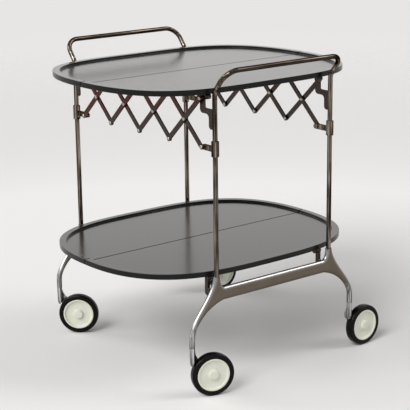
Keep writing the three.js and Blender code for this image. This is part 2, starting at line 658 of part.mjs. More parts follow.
function addCaster(label, frameSide, stemSide, yaw) {
  const group = new THREE.Group();
  group.position.set(frameSide * FRAME_X, stemSide * STEM_Y, 0);
  group.rotation.z = THREE.MathUtils.degToRad(yaw);
  group.add(piece(`${label}_caster_arm`, casterArm(), castAluminium));
  const parts = [
    piece(`${label}_wheel_axle`, wheelAxle(), chrome),
    piece(`${label}_wheel_disc`, wheelDisc(), paleNylon),
    piece(`${label}_tyre`, tyre(), rubber),
  ];
  for (const part of parts) {
    part.position.set(WHEEL_TRAIL, 0, WHEEL_RADIUS);
    group.add(part);
  }
  trolley.add(group);
}

addEnd('rear', Math.PI, 1);
addEnd('front', 0, 0);
addScissor(-1);
addScissor(1);
addCaster('front_left', 1, -1, casterYawDegrees.frontLeft);
addCaster('front_right', 1, 1, casterYawDegrees.frontRight);
addCaster('rear_left', -1, -1, casterYawDegrees.rearLeft);
addCaster('rear_right', -1, 1, casterYawDegrees.rearRight);

export default trolley;
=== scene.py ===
"""The looks of a folding serving trolley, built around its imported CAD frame.

Lengths are in metres and angles in radians. Z is up. X is the folding direction, with the front frame at +X.
Y runs along the handles, with the left side at -Y. The pieces of an end are made as the front end's, and the
rear end is the same turned half round, so there the sides swap.
"""

import itertools
import json
import math

import bmesh
import bpy
import numpy as np
from mathutils import Matrix, Vector

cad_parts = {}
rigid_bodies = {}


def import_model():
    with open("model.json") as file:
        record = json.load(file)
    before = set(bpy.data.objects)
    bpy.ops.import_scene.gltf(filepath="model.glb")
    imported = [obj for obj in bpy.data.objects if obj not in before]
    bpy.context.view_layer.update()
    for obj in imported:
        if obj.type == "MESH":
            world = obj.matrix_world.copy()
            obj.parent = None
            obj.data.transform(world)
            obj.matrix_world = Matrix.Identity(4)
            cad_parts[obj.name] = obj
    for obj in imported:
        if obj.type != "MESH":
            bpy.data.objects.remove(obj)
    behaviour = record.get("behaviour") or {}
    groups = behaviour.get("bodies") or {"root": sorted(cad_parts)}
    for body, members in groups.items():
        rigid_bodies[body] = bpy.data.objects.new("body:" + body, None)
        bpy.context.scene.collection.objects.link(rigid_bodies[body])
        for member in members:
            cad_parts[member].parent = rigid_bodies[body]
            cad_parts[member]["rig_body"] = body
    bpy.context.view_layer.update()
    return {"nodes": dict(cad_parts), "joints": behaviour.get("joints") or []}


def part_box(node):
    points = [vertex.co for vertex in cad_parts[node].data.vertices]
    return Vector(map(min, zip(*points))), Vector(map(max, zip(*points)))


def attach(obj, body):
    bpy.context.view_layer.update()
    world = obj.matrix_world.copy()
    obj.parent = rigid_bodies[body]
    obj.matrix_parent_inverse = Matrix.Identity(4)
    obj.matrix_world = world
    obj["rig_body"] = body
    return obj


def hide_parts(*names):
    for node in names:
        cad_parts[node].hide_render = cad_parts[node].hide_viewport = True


bl_info = {
    "name": "Folding serving trolley",
    "version": (1, 0, 0),
    "blender": (4, 5, 0),
    "location": "3D View > Sidebar > Trolley",
    "description": "Makes the detailed pieces and finishes of a folding serving trolley on its frame",
    "category": "Object",
}

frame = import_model()
joint_places = {joint["name"]: Vector(joint["pos_m"]) for joint in frame["joints"] if "pos_m" in joint}

# Gaps between pieces
CLEARANCE = 0.0003
SWIVEL_CLEARANCE = 0.0005
LAYER_CLEARANCE = 0.0004
SEAM_CLEARANCE = 0.00005

# Steps round curves, and the turn from which an edge is sharp
TURN_STEPS = 48
WHEEL_STEPS = 96
RIVET_STEPS = 24
CORNER_STEPS = 8
CURVE_STEPS = 24
SHARP_ANGLE = math.radians(35)

# Left and right, as signs along Y
SIDES = (-1, 1)

# How far a face of a tray turns to the seam before it is one of the seam's own
SEAM_FACING = 0.3

# Room round the caster arms in the grid that they are cast in
ARM_REACH = 0.012
ARM_MARGIN = 0.003

# Profiles, as shares of a radius and of a height
BOSS_SHARES = ((0.2, 1.0), (0.70, 0.99), (0.80, 0.96), (0.86, 0.88), (0.90, 0.60), (0.93, 0.24),
               (0.98, 0.07), (1.10, 0.0))
RIVET_SHARES = ((1.0, -0.15), (1.0, 0.30), (0.93, 0.58), (0.78, 0.82), (0.56, 0.97), (0.40, 1.0),
                (0.28, 0.86))
SCREW_SHARES = ((1.0, 0.0), (0.92, 0.2), (0.55, 0.35))
AXLE_HEAD_SHARES = ((1.0, 0.0), (1.0, 0.6), (0.8, 0.9), (0.45, 1.0))

# Places of the screws, as shares of a strap's length and of a leaf's width
STRAP_SCREWS = (0.22, 0.6)
LEAF_SCREWS = 0.66

# Places that the CAD frame gives
tray_hinge = joint_places["upper_front_hinge"]
lower_hinge = joint_places["lower_front_hinge"]
centre_hinge = joint_places["upper_centre_hinge"]
scissor_pivot = joint_places["front_scissor_pivot"]
scissor_cross = joint_places["scissor_cross_4"]
frame_x = joint_places["front_left_swivel"].x
stem_y = joint_places["front_right_swivel"].y
stem_foot = joint_places["front_right_swivel"].z
handle_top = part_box("front_handle_tube")[1].z
tray_edge_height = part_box("upper_front_tray")[1].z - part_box("upper_front_tray")[0].z
bracket_outer_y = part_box("front_right_tray_bracket")[1].y


def size(name, description, default):
    """A length that a user may change."""
    return bpy.props.FloatProperty(
        name=name, description=description, default=default, min=0.0, precision=4,
        unit="LENGTH", subtype="DISTANCE")


def colour(name, description, default):
    """A linear colour that a user may change."""
    return bpy.props.FloatVectorProperty(
        name=name, description=description, default=default, min=0.0, max=1.0, size=3, subtype="COLOR")


def turn(name, description, degrees):
    """An angle that a user may change, with its default in degrees."""
    return bpy.props.FloatProperty(
        name=name, description=description, default=math.radians(degrees), unit="ROTATION", subtype="ANGLE")


def count(name, description, default, least):
    """A whole number that a user may change."""
    return bpy.props.IntProperty(name=name, description=description, default=default, min=least)


def number(name, description, default, least=0.0, **settings):
    """A plain number that a user may change."""
    return bpy.props.FloatProperty(name=name, description=description, default=default, min=least, **settings)


def pair(name, description, default, **settings):
    """Two numbers that a user may change."""
    return bpy.props.FloatVectorProperty(
        name=name, description=description, default=default, size=2, **settings)


class HandleSizes(bpy.types.PropertyGroup):
    """Sizes of the two bent tubes."""
    radius: size("Tube radius", "Outer radius of the tubes", 0.0053)
    upright_y: size("Upright place", "Distance of each upright from the middle plane", 0.160)
    rise: size("Rise", "Height of the leaning stretch", 0.047)
    corner_radius: size("Corner radius", "Bend radius at the ends of the grip", 0.032)
    lean_radius: size("Lean radius", "Bend radius where the uprights start to lean", 0.025)


class BridgeSizes(bpy.types.PropertyGroup):
    """Sizes of the two cast leg bridges."""
    depth: size("Depth", "Thickness of the casting along the folding direction", 0.014)
    edge_radius: size("Edge radius", "Rounding of the casting's edges", 0.0066)
    edge_slope: number(
        "Edge slope", "How fast the faces fall to the edges, where 1 is a round edge", 0.6, 0.2, max=1.0)
    rim: size("Rim", "Rounding of the necks' rims and of the stems' feet", 0.0012)
    beam_top: size("Beam top", "Height of the beam's top", 0.230)
    beam_height: size("Beam height", "Height of the beam itself", 0.029)
    neck_radius: size("Neck radius", "Outer radius of the necks that hold the uprights", 0.007)
    neck_top: size("Neck top", "Height of the necks' rims", 0.256)
    neck_flare: size("Neck flare", "How far the curve into a neck runs along the beam", 0.013)
    neck_lean: size("Neck lean", "How much wider a neck is at its foot", 0.0016)
    socket_depth: size("Socket depth", "Depth of the sockets for the uprights", 0.030)
    stem_radius: size("Stem radius", "Radius of the round stems above the casters", 0.0062)
    knee: size("Knee", "Height where the leg's curves start", 0.138)
    knee_bend: size("Knee bend", "How far the soft bend reaches below the knee", 0.010)
    knee_length: size("Knee length", "Length in which a leg turns from flat to round", 0.034)
    arch_y: size("Arch place", "Distance of the arch's end from the middle plane", 0.144)
    lug_thickness: size("Lug thickness", "Thickness of the lugs for the lower tray's hinge", 0.006)
    lug_width: size("Lug width", "Width of each lug below its hinge", 0.0105)
    lug_shelf: size("Lug shelf", "Height of each lug where it meets the casting", 0.015)
    lug_drop: size("Lug drop", "How far the lug's shelf lies below its hinge", 0.023)
    lug_bend: size("Lug bend", "Radius of the lugs' outer bends", 0.007)
    lug_corner: size("Lug corner", "Radius in the corner above the shelf", 0.003)
    lug_heel: size("Lug heel", "Radius where the lugs widen to their heads", 0.001)
    lug_edge: size("Lug edge", "Rounding of the lugs' edges", 0.0008)
    cell: size("Cell", "Mesh size of the cast surfaces", 0.0013)


class BracketSizes(bpy.types.PropertyGroup):
    """Sizes of the four flat S-shaped brackets."""
    thickness: size("Thickness", "Thickness of the flat brackets", 0.0035)
    bar: size("Bar", "Width below the pivots", 0.0155)
    back: size("Back", "How far the bar reaches behind the hinge", 0.0005)
    shelf: size("Shelf", "Height of the middle stretch", 0.0115)
    shelf_drop: size("Shelf drop", "How far the middle stretch lies below the hinge", 0.023)
    foot_drop: size("Foot drop", "How far the foot reaches below the hinge", 0.0655)
    foot_depth: size("Foot depth", "How far the foot stands out from the upright", 0.0125)
    bend: size("Bend", "Radius of the bends", 0.009)
    foot_bend: size("Foot bend", "Radius of the foot's lower corner", 0.0072)
    corner: size("Corner", "Radius in the corner above the middle stretch", 0.004)
    heel: size("Heel", "Radius where the bar widens to the hinge's head", 0.002)
    edge: size("Edge", "Rounding of the brackets' edges", 0.0006)


class SliderSizes(bpy.types.PropertyGroup):
    """Sizes of the four sleeves that slide on the uprights."""
    radius: size("Sleeve radius", "Outer radius of the sleeves", 0.00825)
    height: size("Sleeve height", "Height of the sleeves", 0.0325)
    lift: size("Lift", "Height of a sleeve's middle above the scissor's foot", 0.0018)
    arm_thickness: size("Arm thickness", "Thickness of the arm to the scissor's foot", 0.008)
    lip: size("Lip", "Rounding of the sleeve's rims", 0.0011)
    edge: size("Edge", "Rounding of the arms' edges", 0.0005)


class TraySizes(bpy.types.PropertyGroup):
    """Sizes of both folding trays."""
    rim_width: size("Rim width", "Width of the raised rim", 0.015)
    floor_drop: size("Floor drop", "Depth of the floor below the top of the CAD tray", 0.004)
    rim_rise: size("Rim rise", "Height of the rim above the floor", 0.0052)
    edge_radius: size("Edge radius", "Rounding of the outer edge", 0.0009)
    rim_radius: size("Rim radius", "Rounding of the rim's inner edge", 0.0014)
    well_fillet: size("Well fillet", "Radius between the floor and the rim", 0.0016)
    seam_edge: size("Seam edge", "Rounding of the edges along the seam", 0.0013)
    seam_groove: size("Seam groove", "Half the width of the groove along the seam", 0.0007)
    groove_depth: size("Groove depth", "How far the groove reaches below the floor", 0.002)
    upper: pair("Upper outline", "Powers of the upper tray's outline, along X and along Y", (2.33, 4.12))
    lower: pair("Lower outline", "Powers of the lower tray's outline, along X and along Y", (2.45, 3.3))
    steps: count("Steps", "Points round half of a tray", 120, 24)


class HingeSizes(bpy.types.PropertyGroup):
    """Sizes of the centre hinges and of the straps under the trays."""
    knuckle_radius: size("Centre knuckle radius", "Radius of the centre hinges' knuckles", 0.0034)
    pin_radius: size("Centre pin radius", "Radius of the centre hinges' pins", 0.0014)
    half_length: size("Half length", "Half the length of a centre hinge", 0.135)
    knuckles: count("Knuckles", "Knuckles of a centre hinge, both leaves together", 6, 2)
    leaf_width: size("Leaf width", "Width of a centre hinge's leaves", 0.018)
    leaf_thickness: size("Leaf thickness", "Thickness of a centre hinge's leaves", 0.0017)
    leaf_edge: size("Leaf edge", "Rounding of the leaves' edges", 0.0003)
    strap_width: size("Strap width", "Width of the straps under the trays", 0.010)
    strap_length: size("Strap length", "Length of the straps from the hinge", 0.042)
    strap_thickness: size("Strap thickness", "Thickness of the straps", 0.0035)
    strap_edge: size("Strap edge", "Rounding of the straps' edges", 0.0005)
    strap_knuckle: size("Strap knuckle radius", "Radius of the straps' knuckles", 0.0062)
    strap_pin: size("Strap pin radius", "Radius of the straps' pins", 0.003)
    screw_radius: size("Screw radius", "Radius of the screw heads", 0.0026)


class ScissorSizes(bpy.types.PropertyGroup):
    """Sizes of the scissor links and their rivets."""
    half_width: size("Half width", "Half the width of a link", 0.0055)
    thickness: size("Thickness", "Thickness of a link", 0.0027)
    head_radius: size("Rivet head radius", "Radius of the rivets' heads", 0.0042)
    head_rise: size("Rivet head rise", "Height of the outer rivet heads", 0.0016)
    tail_rise: size("Rivet tail rise", "Height of the inner rivet heads", 0.0013)
    shank_radius: size("Rivet shank radius", "Radius of the rivets' shanks", 0.0024)
    edge: size("Edge", "Rounding of the links' edges", 0.0006)


class CasterSizes(bpy.types.PropertyGroup):
    """Sizes of the caster arms and their wheels."""
    wheel_radius: size("Wheel radius", "Outer radius of the tyres", 0.0475)
    half_width: size("Half width", "Half the width of a wheel", 0.0095)
    tyre_depth: size("Tyre depth", "Height of the tyre's sidewall", 0.0115)
    shoulder: size("Shoulder", "Rounding of the tyre's shoulders", 0.0042)
    crown: size("Crown", "Height of the tread's crown", 0.0003)
    bead: size("Bead", "Width of the flat band beside the disc", 0.0022)
    bead_edge: size("Bead edge", "Rounding of the tyre's inner edges", 0.0006)
    ring_width: size("Ring width", "Width of the raised ring round the disc", 0.0038)
    ring_edge: size("Ring edge", "Width of the rounding inside the ring", 0.0012)
    rim_edge: size("Rim edge", "Rounding of the disc's outer edges", 0.0008)
    dish_depth: size("Dish depth", "Depth of the disc's faces behind its rings", 0.0038)
    dish_fillet: size("Dish fillet", "Radius in the corners of the dish", 0.002)
    boss_radius: size("Boss radius", "Radius of the disc's centre boss", 0.012)
    boss_rise: size("Boss rise", "Height of the centre boss", 0.0062)
    hub_radius: size("Hub radius", "Radius of the hub and of the arm's eye", 0.010)
    axle_radius: size("Axle radius", "Radius of the axle", 0.004)
    axle_reach: size("Axle reach", "How far the axle's bore runs past the wheel's middle", 0.005)
    axle_head: size("Axle head radius", "Radius of the axle's head", 0.006)
    head_rise: size("Axle head rise", "Height of the axle's head", 0.002)
    axle_edge: size("Axle edge", "Rounding of the axle's edges", 0.0004)
    neck_radius: size("Neck radius", "Radius of the arm's round neck", 0.0059)
    heel_radius: size("Heel radius", "Radius of the neck at its heel", 0.0052)
    toe_radius: size("Toe radius", "Radius of the neck's end", 0.0036)
    back: size("Back", "How far the flat arm reaches behind the kingpin", 0.001)
    shoulder_drop: size("Shoulder drop", "How far the flare's start lies below the stem", 0.009)
    skirt_drop: size("Skirt drop", "How far the flare's end lies below the stem", 0.030)
    heel_drop: size("Heel drop", "How far the heel lies below the stem", 0.033)
    toe_drop: size("Toe drop", "How far the neck's end lies below the stem", 0.041)
    neck_lip: size("Neck lip", "Rounding of the neck's ends", 0.0007)
    arm_thickness: size("Arm thickness", "Thickness of the arm beside the wheel", 0.0055)
    arm_edge: size("Arm edge", "Rounding of the flat arm's edges", 0.0024)
    arm_fillet: size("Arm fillet", "Width of the blend from the neck to the flat arm", 0.005)
    arm_gap: size("Arm gap", "Room between a wheel and its arm", 0.001)
    tread_gap: size("Tread gap", "Room round the tyre where the arm spans it", 0.002)
    tread_edge: size("Tread edge", "Rounding of the arm's room for the tyre", 0.0005)
    kingpin_radius: size("Kingpin radius", "Radius of the kingpin", 0.004)
    kingpin_length: size("Kingpin length", "Length of the kingpin in its stem", 0.024)
    kingpin_lip: size("Kingpin lip", "Rounding of the kingpin's end", 0.0006)
    cell: size("Cell", "Mesh size of the arms' surfaces", 0.0009)


class FinishColours(bpy.types.PropertyGroup):
    """Colours of the finishes."""
    # The chrome and its dark reflection are the bright and dark ends of the painted reflections streaked
    # along the tubes and sleeves; their warm brown stands in for a reflected brown floor.
    chrome: colour("Chrome", "Reflected colour of the tubes and sleeves", (0.34, 0.285, 0.235))
    chrome_dark_reflection: colour("Chrome shade", "Darker reflected colour of the tubes", (0.026, 0.018, 0.013))
    steel: colour("Dark steel", "Reflected colour of the links and brackets", (0.055, 0.045, 0.038))
    # The red-brown below is a painted reflection on the links' left side and upper parts, and a random patch
    # colour on the steel.
    steel_tarnish_and_reflection: colour("Steel tint", "Warm tarnish on the links", (0.085, 0.019, 0.014))
    # The casting colour is a painted highlight on the upward rounded edges and the bright side of the painted
    # reflection streaks on the stems; the casting shade is the painted shade of the faces and the dark side
    # of those streaks.
    casting: colour("Casting", "Reflected colour of the polished castings", (0.64, 0.67, 0.72))
    casting_shade: colour("Casting shade", "Duller colour of the castings", (0.125, 0.096, 0.067))
    rivet: colour("Rivets", "Reflected colour of worn rivets and screw heads", (0.72, 0.68, 0.63))
    rivet_shade: colour("Rivet shade", "Reflected colour of the rivets' dull spots", (0.10, 0.09, 0.08))
    tray: colour("Tray", "Colour of the trays' plastic", (0.004, 0.004, 0.004))
    tray_dust: colour("Tray dust", "Colour of the film of wear on the trays", (0.016, 0.0155, 0.015))
    rubber: colour("Rubber", "Colour of the tyres", (0.003, 0.003, 0.0025))
    rubber_dust: colour("Rubber dust", "Colour of the dust on the tyres", (0.012, 0.011, 0.010))
    nylon: colour("Nylon", "Colour of the wheel discs", (0.73, 0.755, 0.66))
    nylon_aged: colour("Aged nylon", "Colour of the yellowed patches on the wheel discs", (0.66, 0.65, 0.52))
    floor: colour("Floor", "Colour of the floor and the backdrop", (0.80, 0.79, 0.78))


class StageSettings(bpy.types.PropertyGroup):
    """Settings of the camera, the floor and the light from all round."""
    lens: number("Lens", "Focal length of the camera in millimetres", 119.17, unit="CAMERA")
    azimuth: turn("Azimuth", "Direction of the camera round the trolley", 52.225)
    elevation: turn("Elevation", "Height of the camera above the horizon", 15.12)
    roll: turn("Roll", "Tilt of the camera about its line of sight", -0.754)
    distance: size("Distance", "Distance of the camera from its target", 3.12267)
    target: pair(
        "Target", "Offset of the camera's target, to the right and up", (0.01101, -0.02001), unit="LENGTH")
    target_height: size("Target height", "Height of the camera's target", 0.35)
    world_light: number("World light", "Strength of the light from all round", 0.34)
    floor_radius: size("Floor radius", "Radius of the floor", 6.0)
    floor_depth: size("Floor depth", "Thickness of the floor", 0.01)


class Trolley(bpy.types.PropertyGroup):
    """All settings of the trolley."""
    handles: bpy.props.PointerProperty(type=HandleSizes)
    bridges: bpy.props.PointerProperty(type=BridgeSizes)
    brackets: bpy.props.PointerProperty(type=BracketSizes)
    sliders: bpy.props.PointerProperty(type=SliderSizes)
    trays: bpy.props.PointerProperty(type=TraySizes)
    hinges: bpy.props.PointerProperty(type=HingeSizes)
    scissors: bpy.props.PointerProperty(type=ScissorSizes)
    casters: bpy.props.PointerProperty(type=CasterSizes)
    colours: bpy.props.PointerProperty(type=FinishColours)
    stage: bpy.props.PointerProperty(type=StageSettings)


# Outlines and meshes

def bend(before, corner, after, radius, steps):
    """The arc in space that rounds a corner between two straight stretches."""
    back = (before - corner).normalized()
    ahead = (after - corner).normalized()
    half = back.angle(ahead) / 2
    centre = corner + (back + ahead).normalized() * radius / math.sin(half)
    start = corner + back * radius / math.tan(half) - centre
    end = corner + ahead * radius / math.tan(half) - centre
    axis, sweep = start.cross(end).normalized(), start.angle(end)
    return [centre + Matrix.Rotation(sweep * step / steps, 3, axis) @ start for step in range(steps + 1)]


def bent_path(corners, radii):
    """A path through corners in space, with an arc at each corner between the ends."""
    path = [corners[0]]
    for before, corner, after, radius in zip(corners, corners[1:], corners[2:], radii):
        path += bend(before, corner, after, radius, CURVE_STEPS)
    return [*path, corners[-1]]


def rounded(corners):
    """An outline through corners in a plane, each with the radius of its rounding."""
    outline = []
    places = [Vector((*place, 0)) for place, _ in corners]
    for index, (_, radius) in enumerate(corners):
        corner, after = places[index], places[(index + 1) % len(places)]
        outline += bend(places[index - 1], corner, after, radius, CORNER_STEPS) if radius else [corner]
    return outline


def circle(centre, radius, steps=RIVET_STEPS):
    """Points round a circle in a plane."""
    angles = [math.tau * step / steps for step in range(steps)]
    return [(centre[0] + radius * math.cos(angle), centre[1] + radius * math.sin(angle)) for angle in angles]


def arc(centre, radius, start, end, steps=CURVE_STEPS):
    """Points along an arc in a plane, from one angle to another."""
    angles = [start + (end - start) * step / steps for step in range(steps + 1)]
    return [(centre[0] + radius * math.cos(angle), centre[1] + radius * math.sin(angle)) for angle in angles]


def bezier(*points):
    """Points along a Bezier curve of any order, without its first."""
    order = len(points) - 1
    curve = []
    for step in range(1, CURVE_STEPS + 1):
        along = step / CURVE_STEPS
        weights = [math.comb(order, k) * along ** k * (1 - along) ** (order - k) for k in range(order + 1)]
        curve.append(tuple(sum(w * p[axis] for w, p in zip(weights, points)) for axis in range(2)))
    return curve


def span(side, near, far):
    """Two distances from the middle plane as places along Y on one side of it, the lower first."""
    return (-far, -near) if side < 0 else (near, far)


class Shell:
    """Gathers closed bodies and turns them into the mesh of one piece."""

    def __init__(self):
        self.bm = bmesh.new()

    def loft(self, rings, closed=False):
        """Joins rings of points into a skin. An open row of rings gets a flat cap at either end."""
        rows = [[self.bm.verts.new(point) for point in ring] for ring in rings]
        pairs = list(zip(rows, rows[1:]))
        if closed:
            pairs.append((rows[-1], rows[0]))
        else:
            self.bm.faces.new(rows[0])
            self.bm.faces.new(rows[-1])
        for low, high in pairs:
            for index in range(len(low)):
                after = (index + 1) % len(low)
                self.bm.faces.new((low[index], low[after], high[after], high[index]))
        return self

    def turned(self, profile, along="Z", centre=(0.0, 0.0), closed=False, steps=TURN_STEPS):
        """Turns pairs of radius and place about an axis along Y or Z."""
        rings = []
        for radius, place in profile:
            ring = circle(centre, radius, steps)
            rings.append([(u, v, place) if along == "Z" else (u, place, v) for u, v in ring])
        return self.loft(rings, closed)

    def plate(self, outline, low, high, holes=()):
        """A plate drawn in X and Z, with holes, between two places along Y."""
        edges = []
        for loop in (outline, *holes):
            verts = [self.bm.verts.new((point[0], low, point[1])) for point in loop]
            edges += [self.bm.edges.new(edge) for edge in zip(verts, verts[1:] + verts[:1])]
        filled = bmesh.ops.triangle_fill(self.bm, edges=edges, use_beauty=True)["geom"]
        faces = [item for item in filled if isinstance(item, bmesh.types.BMFace)]
        far = bmesh.ops.extrude_face_region(self.bm, geom=faces)["geom"]
        moved = [item for item in far if isinstance(item, bmesh.types.BMVert)]
        bmesh.ops.translate(self.bm, vec=(0, high - low, 0), verts=moved)
        return self

    def block(self, low, high):
        """A rectangular bar between two corners."""
        outline = [(low[0], low[2]), (high[0], low[2]), (high[0], high[2]), (low[0], high[2])]
        return self.plate(outline, low[1], high[1])

    def mesh(self, name):
        """The finished mesh, with smooth faces and sharp edges where it turns."""
        bmesh.ops.recalc_face_normals(self.bm, faces=self.bm.faces)
        made = bpy.data.meshes.new(name)
        self.bm.to_mesh(made)
        self.bm.free()
        return smoothed(made)


def smoothed(mesh):
    """The mesh with smooth shading, except where it turns sharply."""
    mesh.polygons.foreach_set("use_smooth", [True] * len(mesh.polygons))
    mesh.set_sharp_from_angle(angle=SHARP_ANGLE)
    return mesh


# Cast bodies, as signed distances that are negative inside

def outline_distance(u, v, outline):
    """Distance from points to a closed outline."""
    nearest = np.full(np.broadcast(u, v).shape, np.inf)
    inside = np.zeros(nearest.shape, bool)
    for (start_u, start_v), (end_u, end_v) in zip(outline, [*outline[1:], outline[0]]):
        run_u, run_v = end_u - start_u, end_v - start_v
        length = run_u ** 2 + run_v ** 2
        if length == 0:
            continue
        along = np.clip(((u - start_u) * run_u + (v - start_v) * run_v) / length, 0, 1)
        apart = (u - start_u - along * run_u) ** 2 + (v - start_v - along * run_v) ** 2
        nearest = np.minimum(nearest, apart)
        if run_v != 0:
            crosses = (start_v > v) != (end_v > v)
            inside ^= crosses & (u < start_u + (v - start_v) * run_u / run_v)
    return np.where(inside, -1, 1) * np.sqrt(nearest)


def rounded_meeting(first, second, rounding):
    """Where two bodies overlap, with a rounded edge between their skins."""
    first, second = first + rounding, second + rounding
    outside = np.hypot(np.maximum(first, 0), np.maximum(second, 0))
    return np.minimum(np.maximum(first, second), 0) + outside - rounding


def fused(first, second, fillet):
    """Both bodies, with a fillet where they meet."""
    mix = np.clip(0.5 + 0.5 * (second - first) / fillet, 0, 1)
    return second + (first - second) * mix - fillet * mix * (1 - mix)


def bar(radial, radius, along, low, high, rounding):
    """A round bar between two places along its axis."""
    ends = np.abs(along - (low + high) / 2) - (high - low) / 2
    return rounded_meeting(radial - radius, ends, rounding)


def cast(name, distance, low, high, cell):
    """The skin of a cast body between two corners, as a mesh of even quads."""
    grid = [np.arange(start, end + cell, cell) for start, end in zip(low, high)]
    field = distance(*np.ix_(*grid))
    inside = field < 0
    counts = np.array(field.shape) - 1
    total = np.zeros((*counts, 3))
    crossings = np.zeros(counts)

    # One corner for each cell that the skin runs through, at the mean of its crossings
    for axis in range(3):
        for corner in itertools.product((0, 1), repeat=2):
            offset = [*corner[:axis], 0, *corner[axis:]]
            start = tuple(slice(o, o + n) for o, n in zip(offset, counts))
            end = tuple(slice(o + (i == axis), o + (i == axis) + n)
                        for i, (o, n) in enumerate(zip(offset, counts)))
            crossed = inside[start] != inside[end]
            drop = np.where(crossed, field[start] - field[end], 1)
            total[..., axis] += np.where(crossed, field[start] / drop, 0)
            for other in range(3):
                total[..., other] += crossed * offset[other]
            crossings += crossed
    filled = crossings > 0
    numbers = np.full(counts, -1)
    numbers[filled] = np.arange(filled.sum())
    points = np.array(low) + cell * (np.argwhere(filled) + total[filled] / crossings[filled][:, None])

    # One quad round each edge of the grid that the skin crosses
    faces = []
    for axis in range(3):
        near = [slice(1, -1)] * 3
        near[axis] = slice(0, -1)
        far = list(near)
        far[axis] = slice(1, None)
        leaving = inside[tuple(near)]
        crossed = leaving != inside[tuple(far)]
        across = [(axis + 1) % 3, (axis + 2) % 3]
        for outward in (True, False):
            corner = np.argwhere(crossed & (leaving == outward))
            corner[:, across] += 1
            quad = []
            for back in ((1, 1), (0, 1), (0, 0), (1, 0)):
                place = corner.copy()
                place[:, across] -= back
                quad.append(numbers[tuple(place.T)])
            faces.append(np.stack(quad if outward else quad[::-1], 1))

    for _ in range(2):
        points -= step_to_skin(distance, points, cell)
    made = bpy.data.meshes.new(name)
    made.from_pydata(points.tolist(), [], np.concatenate(faces).tolist())
    made.update()
    return smoothed(made)


def step_to_skin(distance, points, cell):
    """The way from each point to the nearest skin, at most half a cell long."""
    reach = cell / 10
    here = distance(*points.T)
    slopes = []
    for axis in range(3):
        ahead = points.copy()
        ahead[:, axis] += reach
        slopes.append((distance(*ahead.T) - here) / reach)
    slope = np.stack(slopes, 1)
    steep = np.maximum((slope ** 2).sum(1), 0.25)
    step = np.clip(here / steep, -cell / 2, cell / 2)
    return slope * step[:, None]


# Finishes

class Field:
    """One output of a node. Arithmetic on it adds Math nodes."""

    def __init__(self, nodes, socket):
        self.nodes = nodes
        self.socket = socket

    def math(self, operation, *values):
        """A Math node on numbers or fields."""
        return self.nodes.node("ShaderNodeMath", {"operation": operation}, dict(enumerate(values)))

    def __add__(self, other):
        return self.math("ADD", self, other)

    def __sub__(self, other):
        return self.math("SUBTRACT", self, other)

    def __rsub__(self, other):
        return self.math("SUBTRACT", other, self)

    def __mul__(self, other):
        return self.math("MULTIPLY", self, other)

    __radd__ = __add__
    __rmul__ = __mul__


class Nodes:
    """A node tree, and the nodes that the finishes and the world are made of."""

    def __init__(self, tree):
        self.tree = tree

    def node(self, kind, settings, inputs, output=0):
        """Adds a node with its settings, then the values or links of its sockets, and gives one output."""
        made = self.tree.nodes.new(kind)
        for label, value in settings.items():
            if label == "stops":
                self.set_stops(made.color_ramp, value)
            else:
                setattr(made, label, value)
        for key, value in inputs.items():
            self.link(value, self.find(made.inputs, key))
        return Field(self, self.find(made.outputs, output))

    @staticmethod
    def find(sockets, key):
        """A socket by its number, or by its name among those in use."""
        if isinstance(key, int):
            return sockets[key]
        return next(socket for socket in sockets if socket.name == key and socket.enabled)

    @staticmethod
    def set_stops(ramp, stops):
        """Gives a ramp its stops. A new one has two already."""
        for index, (place, value) in enumerate(stops):
            stop = ramp.elements[index] if index < 2 else ramp.elements.new(place)
            stop.position = place
            stop.color = (value, value, value, 1)

    def link(self, value, socket):
        """Links a field to a socket, or sets the socket to a value."""
        if isinstance(value, Field):
            self.tree.links.new(value.socket, socket)
        elif socket.type == "RGBA" and len(value) == 3:
            socket.default_value = (*value, 1)
        else:
            socket.default_value = value

    def axis(self, label, kind="Object"):
        """One axis of the places on the piece itself, in metres, or of another kind of coordinate."""
        here = self.node("ShaderNodeTexCoord", {}, {}, kind)
        return self.node("ShaderNodeSeparateXYZ", {}, {0: here}, label)

    def noise(self, scale, detail=3.0, stretch=(1.0, 1.0, 1.0), roughness=0.5):
        """Noise in space, stretched along the axes whose share is under 1."""
        here = self.node("ShaderNodeTexCoord", {}, {}, "Object")
        places = self.node("ShaderNodeVectorMath", {"operation": "MULTIPLY"}, {0: here, 1: stretch})
        inputs = {"Vector": places, "Scale": scale, "Detail": detail, "Roughness": roughness}
        return self.node("ShaderNodeTexNoise", {}, inputs)

    def ramp(self, field, *stops):
        """Bends a value along stops of place and value."""
        return self.node("ShaderNodeValToRGB", {"stops": stops}, {"Fac": field})

    def fade(self, factor, first, second, **settings):
        """One value fading into another."""
        return self.node("ShaderNodeMix", settings, {"Factor": factor, "A": first, "B": second}, "Result")

    def mix(self, factor, first, second):
        """One colour fading into another."""
        return self.fade(factor, first, second, data_type="RGBA")

    def bump(self, field, distance, strength):
        """A surface that rises and falls with a value."""
        inputs = {"Height": field, "Distance": distance, "Strength": strength}
        return self.node("ShaderNodeBump", {}, inputs)


class Finish(Nodes):
    """A material with its shader. Constants go to the shader's own sockets."""

    def __init__(self, name, **constants):
        self.material = bpy.data.materials.new(name)
        self.material.use_nodes = True
        super().__init__(self.material.node_tree)
        self.shader = self.tree.nodes["Principled BSDF"]
        self.feed(**constants)

    def feed(self, **fields):
        """Links fields to the shader, or sets its sockets to values."""
        for label, field in fields.items():
            self.link(field, self.shader.inputs[label.replace("_", " ")])
        return self


